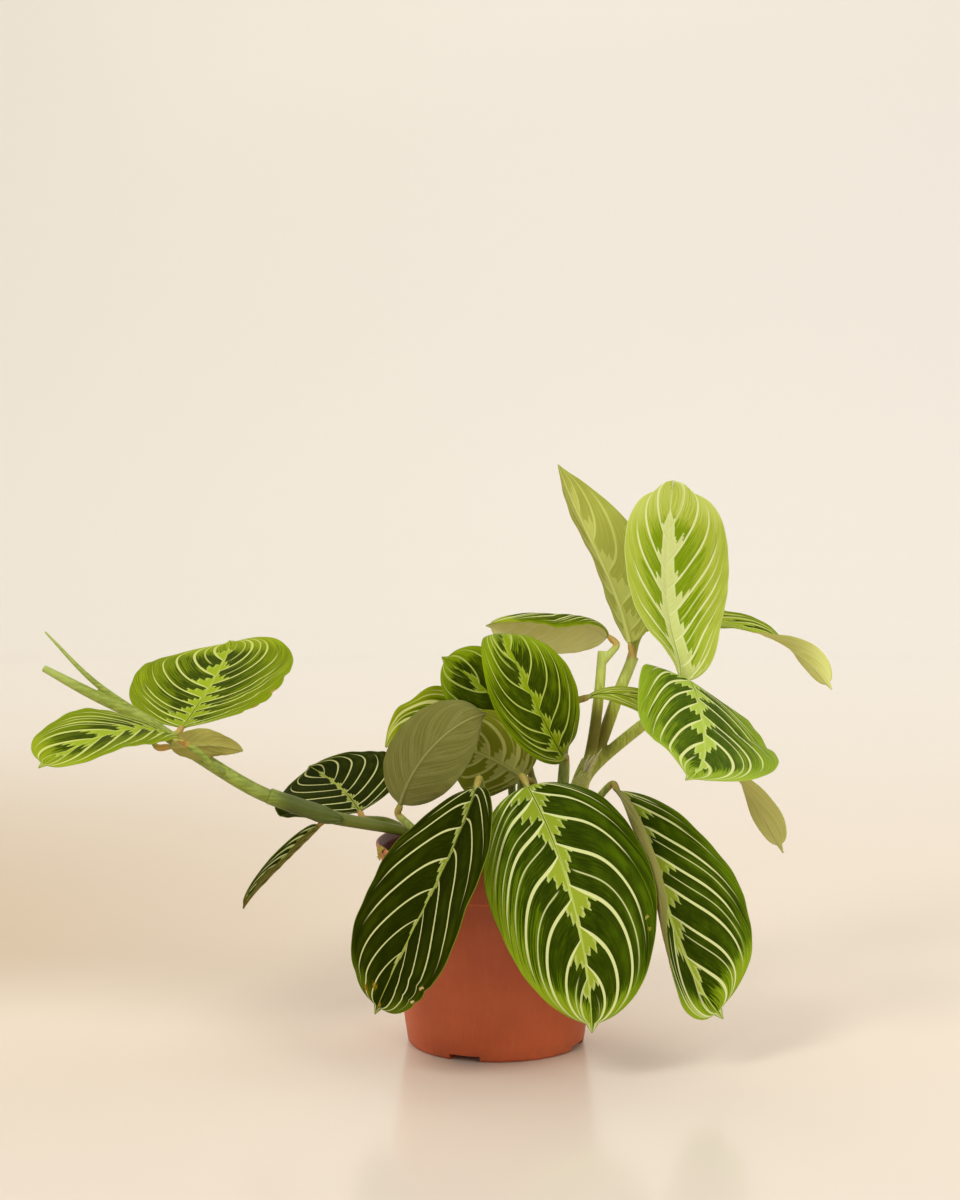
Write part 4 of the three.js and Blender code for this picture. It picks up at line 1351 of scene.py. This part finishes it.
def pot_material():
    """Brown moulded plastic: a soft sheen, faint mould flow, dark specks and pale dust specks, a
    painted highlight along the lip, and darker brown on the inner wall above the soil and in
    patches round the foot.
    """
    material = new_material("pot_plastic")
    spot = place(material.node_tree)
    x, y, z = spot
    cloud = grain_over(spot, (0.035, 0.035, 0.05), detail=3.0)
    flow = grain_over(spot, (0.5, 0.5, 0.03), detail=3.0)
    speck = grain_over(spot, 0.9, detail=1.0)
    fine = grain_over(spot, 2.4)
    radius = (x * x + y * y).root()
    lip_highlight = z.rises(POT_HEIGHT - LIP_HEIGHT - 0.4, POT_HEIGHT - 1.2) * radius.rises(58.6, 59.4)
    inner_wall = LIP_RADIUS - POT_WALL - (POT_HEIGHT - z).at_least(0.0) * 0.61
    inside = (radius - inner_wall.at_least(BAND_TOP_RADIUS - POT_WALL)).falls(0.15, 0.45)
    foot = z.falls(0.0, 9.0) * grain_over(spot, (0.2, 0.2, 0.3), detail=4.0).rises(0.35, 0.7)
    colour = layered(
        (192, 86, 42),
        (cloud.rises(0.3, 0.75), (204, 97, 50)),
        (flow.rises(0.45, 0.8) * 0.2, (216, 110, 58)),
        (speck.rises(0.76, 0.8) * 0.5, (120, 60, 36)),
        (speck.falls(0.2, 0.25) * 0.35, (206, 150, 116)),
        # Painted highlight: the outer edge of the lip paler pink.
        (lip_highlight * 0.45, (206, 150, 122)),
        # Dark brown on the inner wall, from about 90 mm up to the lip.
        (inside * z.rises(86.0, 92.0) * (0.75 + 0.25 * speck), (58, 28, 18)),
        # Darker brown in patches over the bottom 9 mm of the pot.
        (foot * 0.35, (120, 72, 50)),
    )
    relief = (flow * 0.6 + fine * 0.4, 0.35, 0.2)
    return finish_material(material, colour, 0.36 + 0.16 * cloud + 0.1 * fine, 0.45, relief)


def add_notch(build, angle):
    """The block that cuts a notch through the foot ring."""
    near, far = NOTCH_REACH
    low = Vector((near, -NOTCH_WIDTH / 2, -FLOOR_RISE))
    high = Vector((far, NOTCH_WIDTH / 2, FLOOR_RISE))
    for vert in bmesh.ops.create_cube(build, size=1.0)["verts"]:
        vert.co = about_z(low + (vert.co + Vector((0.5, 0.5, 0.5))) * (high - low), angle) * MM


def pot_cuts():
    """The notches in the foot ring and the drain holes, as solids."""
    build = bmesh.new()
    for k in range(NOTCH_COUNT):
        add_notch(build, math.radians(NOTCH_FIRST_ANGLE + 360 / NOTCH_COUNT * k))
    for k in range(DRAIN_COUNT):
        angle = math.radians(DRAIN_FIRST_ANGLE + 360 / DRAIN_COUNT * k)
        x = DRAIN_CIRCLE * math.cos(angle)
        y = DRAIN_CIRCLE * math.sin(angle)
        ends = [(x, y, 1, DRAIN_RADIUS), (x, y, 7, DRAIN_RADIUS)]
        add_tube(build, np.array(ends, float), 32)
    return link("pot_cuts", mesh_from(build, "pot_cuts"))


def make_pot():
    build = bmesh.new()
    add_turned(build, rounded(pot_profile(), CORNER_ROUND), POT_SIDES)
    shell = link("pot_shell", mesh_from(build, "pot_shell"))
    cuts = pot_cuts()
    cut = shell.modifiers.new("cut", "BOOLEAN")
    cut.operation = "DIFFERENCE"
    cut.object = cuts
    cut.solver = "EXACT"
    mesh = applied(shell)
    bpy.data.objects.remove(cuts)
    pot = add_piece("pot_shell", mesh, [pot_material()], "pot")
    pot.data.set_sharp_from_angle(angle=math.radians(40))


# -------- soil
def soil_height(x, y):
    """The soil's surface in mm: low mounds with crumbs on them."""
    bump = math.sin(0.23 * x + 1.1) * math.cos(0.19 * y - 0.4) + 0.4 * math.sin(0.5 * (x + y))
    crumbs = noise.turbulence(Vector((x, y, 3.0)) * 0.28, 4, False)
    return SOIL_TOP + SOIL_BUMP * bump + 2.0 * (crumbs - 0.5)


def soil_material():
    """Dark peat mix with brown fibre and a few pale grains."""
    material = new_material("soil_mix")
    spot = place(material.node_tree)
    big = grain_over(spot, 0.25, detail=4.0)
    fine = grain_over(spot, 1.6, detail=3.0)
    tone = attribute(material.node_tree, "tone")
    colour = layered(
        (34, 26, 14),
        (big.rises(0.3, 0.7), (62, 46, 26)),
        (fine.rises(0.5, 0.8) * 0.5, (92, 68, 40)),
        (tone.rises(0.35, 0.9) * 0.6, (112, 82, 48)),
        (tone.rises(0.94, 0.97), (196, 186, 164)),
    )
    return finish_material(material, colour, 0.92, 0.2, (big + 0.6 * fine, 0.9, 1.0))


def add_crumb(build, tone_layer, draw):
    """One crumb of the mix on the soil's surface: a dented, flattened ball."""
    r = (SOIL_REACH - 2.5) * math.sqrt(draw.random())
    angle = draw.uniform(0, 2 * math.pi)
    size = 0.7 + 2.2 * draw.random() ** 2.5
    tone = draw.random()
    x = r * math.cos(angle)
    y = r * math.sin(angle)
    centre = Vector((x, y, soil_height(x, y) + 0.25 * size))
    squash = Vector((draw.uniform(0.7, 1.4), draw.uniform(0.7, 1.2), draw.uniform(0.5, 0.9)))
    turn = draw.uniform(0, math.pi)
    for vert in bmesh.ops.create_icosphere(build, subdivisions=2, radius=1.0)["verts"]:
        dent = 1 + 0.35 * noise.noise(vert.co * 1.7 + Vector((x, y, tone)))
        vert.co = (centre + about_z(vert.co * squash * dent, turn) * size) * MM
        vert[tone_layer] = tone


def make_soil():
    build = bmesh.new()
    tone_layer = build.verts.layers.float.new("tone")
    bottom = FLOOR_TOP + 0.35
    stops = [
        (0, bottom),
        (BODY_FOOT_RADIUS - 1.6, bottom),
        (BODY_TOP_RADIUS - POT_WALL - 0.6, BAND_FOOT_Z - 3),
        (SOIL_REACH, SOIL_TOP - 3),
    ]
    for k in range(SOIL_RINGS - 1):
        stops.append(((SOIL_REACH - SOIL_GAP) * (1 - k / SOIL_RINGS), soil_height))
    stops.append((0, soil_height))
    add_turned(build, stops, SOIL_SIDES)
    draw = random.Random(CRUMB_SEED)
    for _ in range(CRUMB_COUNT):
        add_crumb(build, tone_layer, draw)
    add_piece("soil_mix", mesh_from(build, "soil_mix"), [soil_material()], "soil")


# -------- stage, light and camera
def sweep_material():
    """Warm white paper with painted light: darker to the left and towards the front, paler up the
    wall, and a painted soft shadow of the plant on the floor to the left behind it.
    """
    material = new_material("sweep_paper")
    x, y, _ = place(material.node_tree)
    # Painted light: the paper goes darker to the left and towards the front, and paler up the wall.
    side = x.rises(-900.0, 700.0)
    near = blend(side, (221, 206, 190), (226, 217, 205))
    far = blend(side, (230, 214, 194), (236, 224, 207))
    wall = blend(side, (250, 244, 232), (254, 249, 241))
    # Painted shadow: a soft darker band on the floor to the left behind the plant, where its shadow
    # falls.
    painted_plant_shadow = x.falls(-400.0, 150.0) * y.rises(20.0, 200.0) * y.falls(250.0, 1000.0)
    colour = layered(
        near,
        (y.rises(-400.0, 100.0), far),
        (y.rises(200.0, 1600.0), wall),
        (painted_plant_shadow * 0.85, (206, 182, 150)),
    )
    return finish_material(material, colour, 0.2, 0.25)


def make_stage():
    """A seamless pale sweep: floor, a wide bend and a back wall."""
    profile = [(SWEEP_FRONT, 0.0), (SWEEP_BEND_FROM, 0.0)]
    for k in range(1, SWEEP_STEPS + 1):
        a = math.pi / 2 * k / SWEEP_STEPS
        y = SWEEP_BEND_FROM + SWEEP_BEND * math.sin(a)
        profile.append((y, SWEEP_BEND - SWEEP_BEND * math.cos(a)))
    profile.append((SWEEP_BEND_FROM + SWEEP_BEND, SWEEP_TOP))
    points = [(x, y, z) for y, z in profile for x in (-SWEEP_HALF_WIDTH, SWEEP_HALF_WIDTH)]
    faces = [(a, a + 1, a + 3, a + 2) for a in range(0, len(points) - 2, 2)]
    mesh = bpy.data.meshes.new("sweep")
    mesh.from_pydata(points, [], faces)
    mesh.materials.append(sweep_material())
    mesh.polygons.foreach_set("use_smooth", [True] * len(mesh.polygons))
    link("sweep", mesh)


def make_light():
    for name, (at, towards, size, power, colour) in PANELS.items():
        data = bpy.data.lights.new(name, "AREA")
        data.shape = "RECTANGLE"
        data.size, data.size_y = size
        data.energy = power
        data.color = colour
        lamp = link(name, data)
        lamp.location = at
        lamp.rotation_euler = (Vector(towards) - Vector(at)).to_track_quat("-Z", "Y").to_euler()
    world = bpy.data.worlds.new("studio")
    world.use_nodes = True
    room = world.node_tree.nodes["Background"]
    room.inputs["Color"].default_value = ROOM_COLOUR
    room.inputs["Strength"].default_value = ROOM_LIGHT
    bpy.context.scene.world = world


def make_camera():
    """Level with the plant's top, looking a little down, as in the photograph."""
    data = bpy.data.cameras.new("camera")
    data.sensor_width = SENSOR_WIDTH
    data.lens = LENS
    camera = link("camera", data)
    camera.location = CAMERA_AT
    camera.rotation_euler = (math.radians(90 - CAMERA_DOWN), 0.0, 0.0)
    bpy.context.scene.camera = camera


# -------- assembly
def main():
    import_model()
    bpy.context.scene.view_settings.view_transform = "Standard"
    make_camera()
    make_light()
    make_stage()
    make_pot()
    make_soil()
    make_stems()
    make_leaves()
    make_dry_pieces()
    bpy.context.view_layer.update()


main()
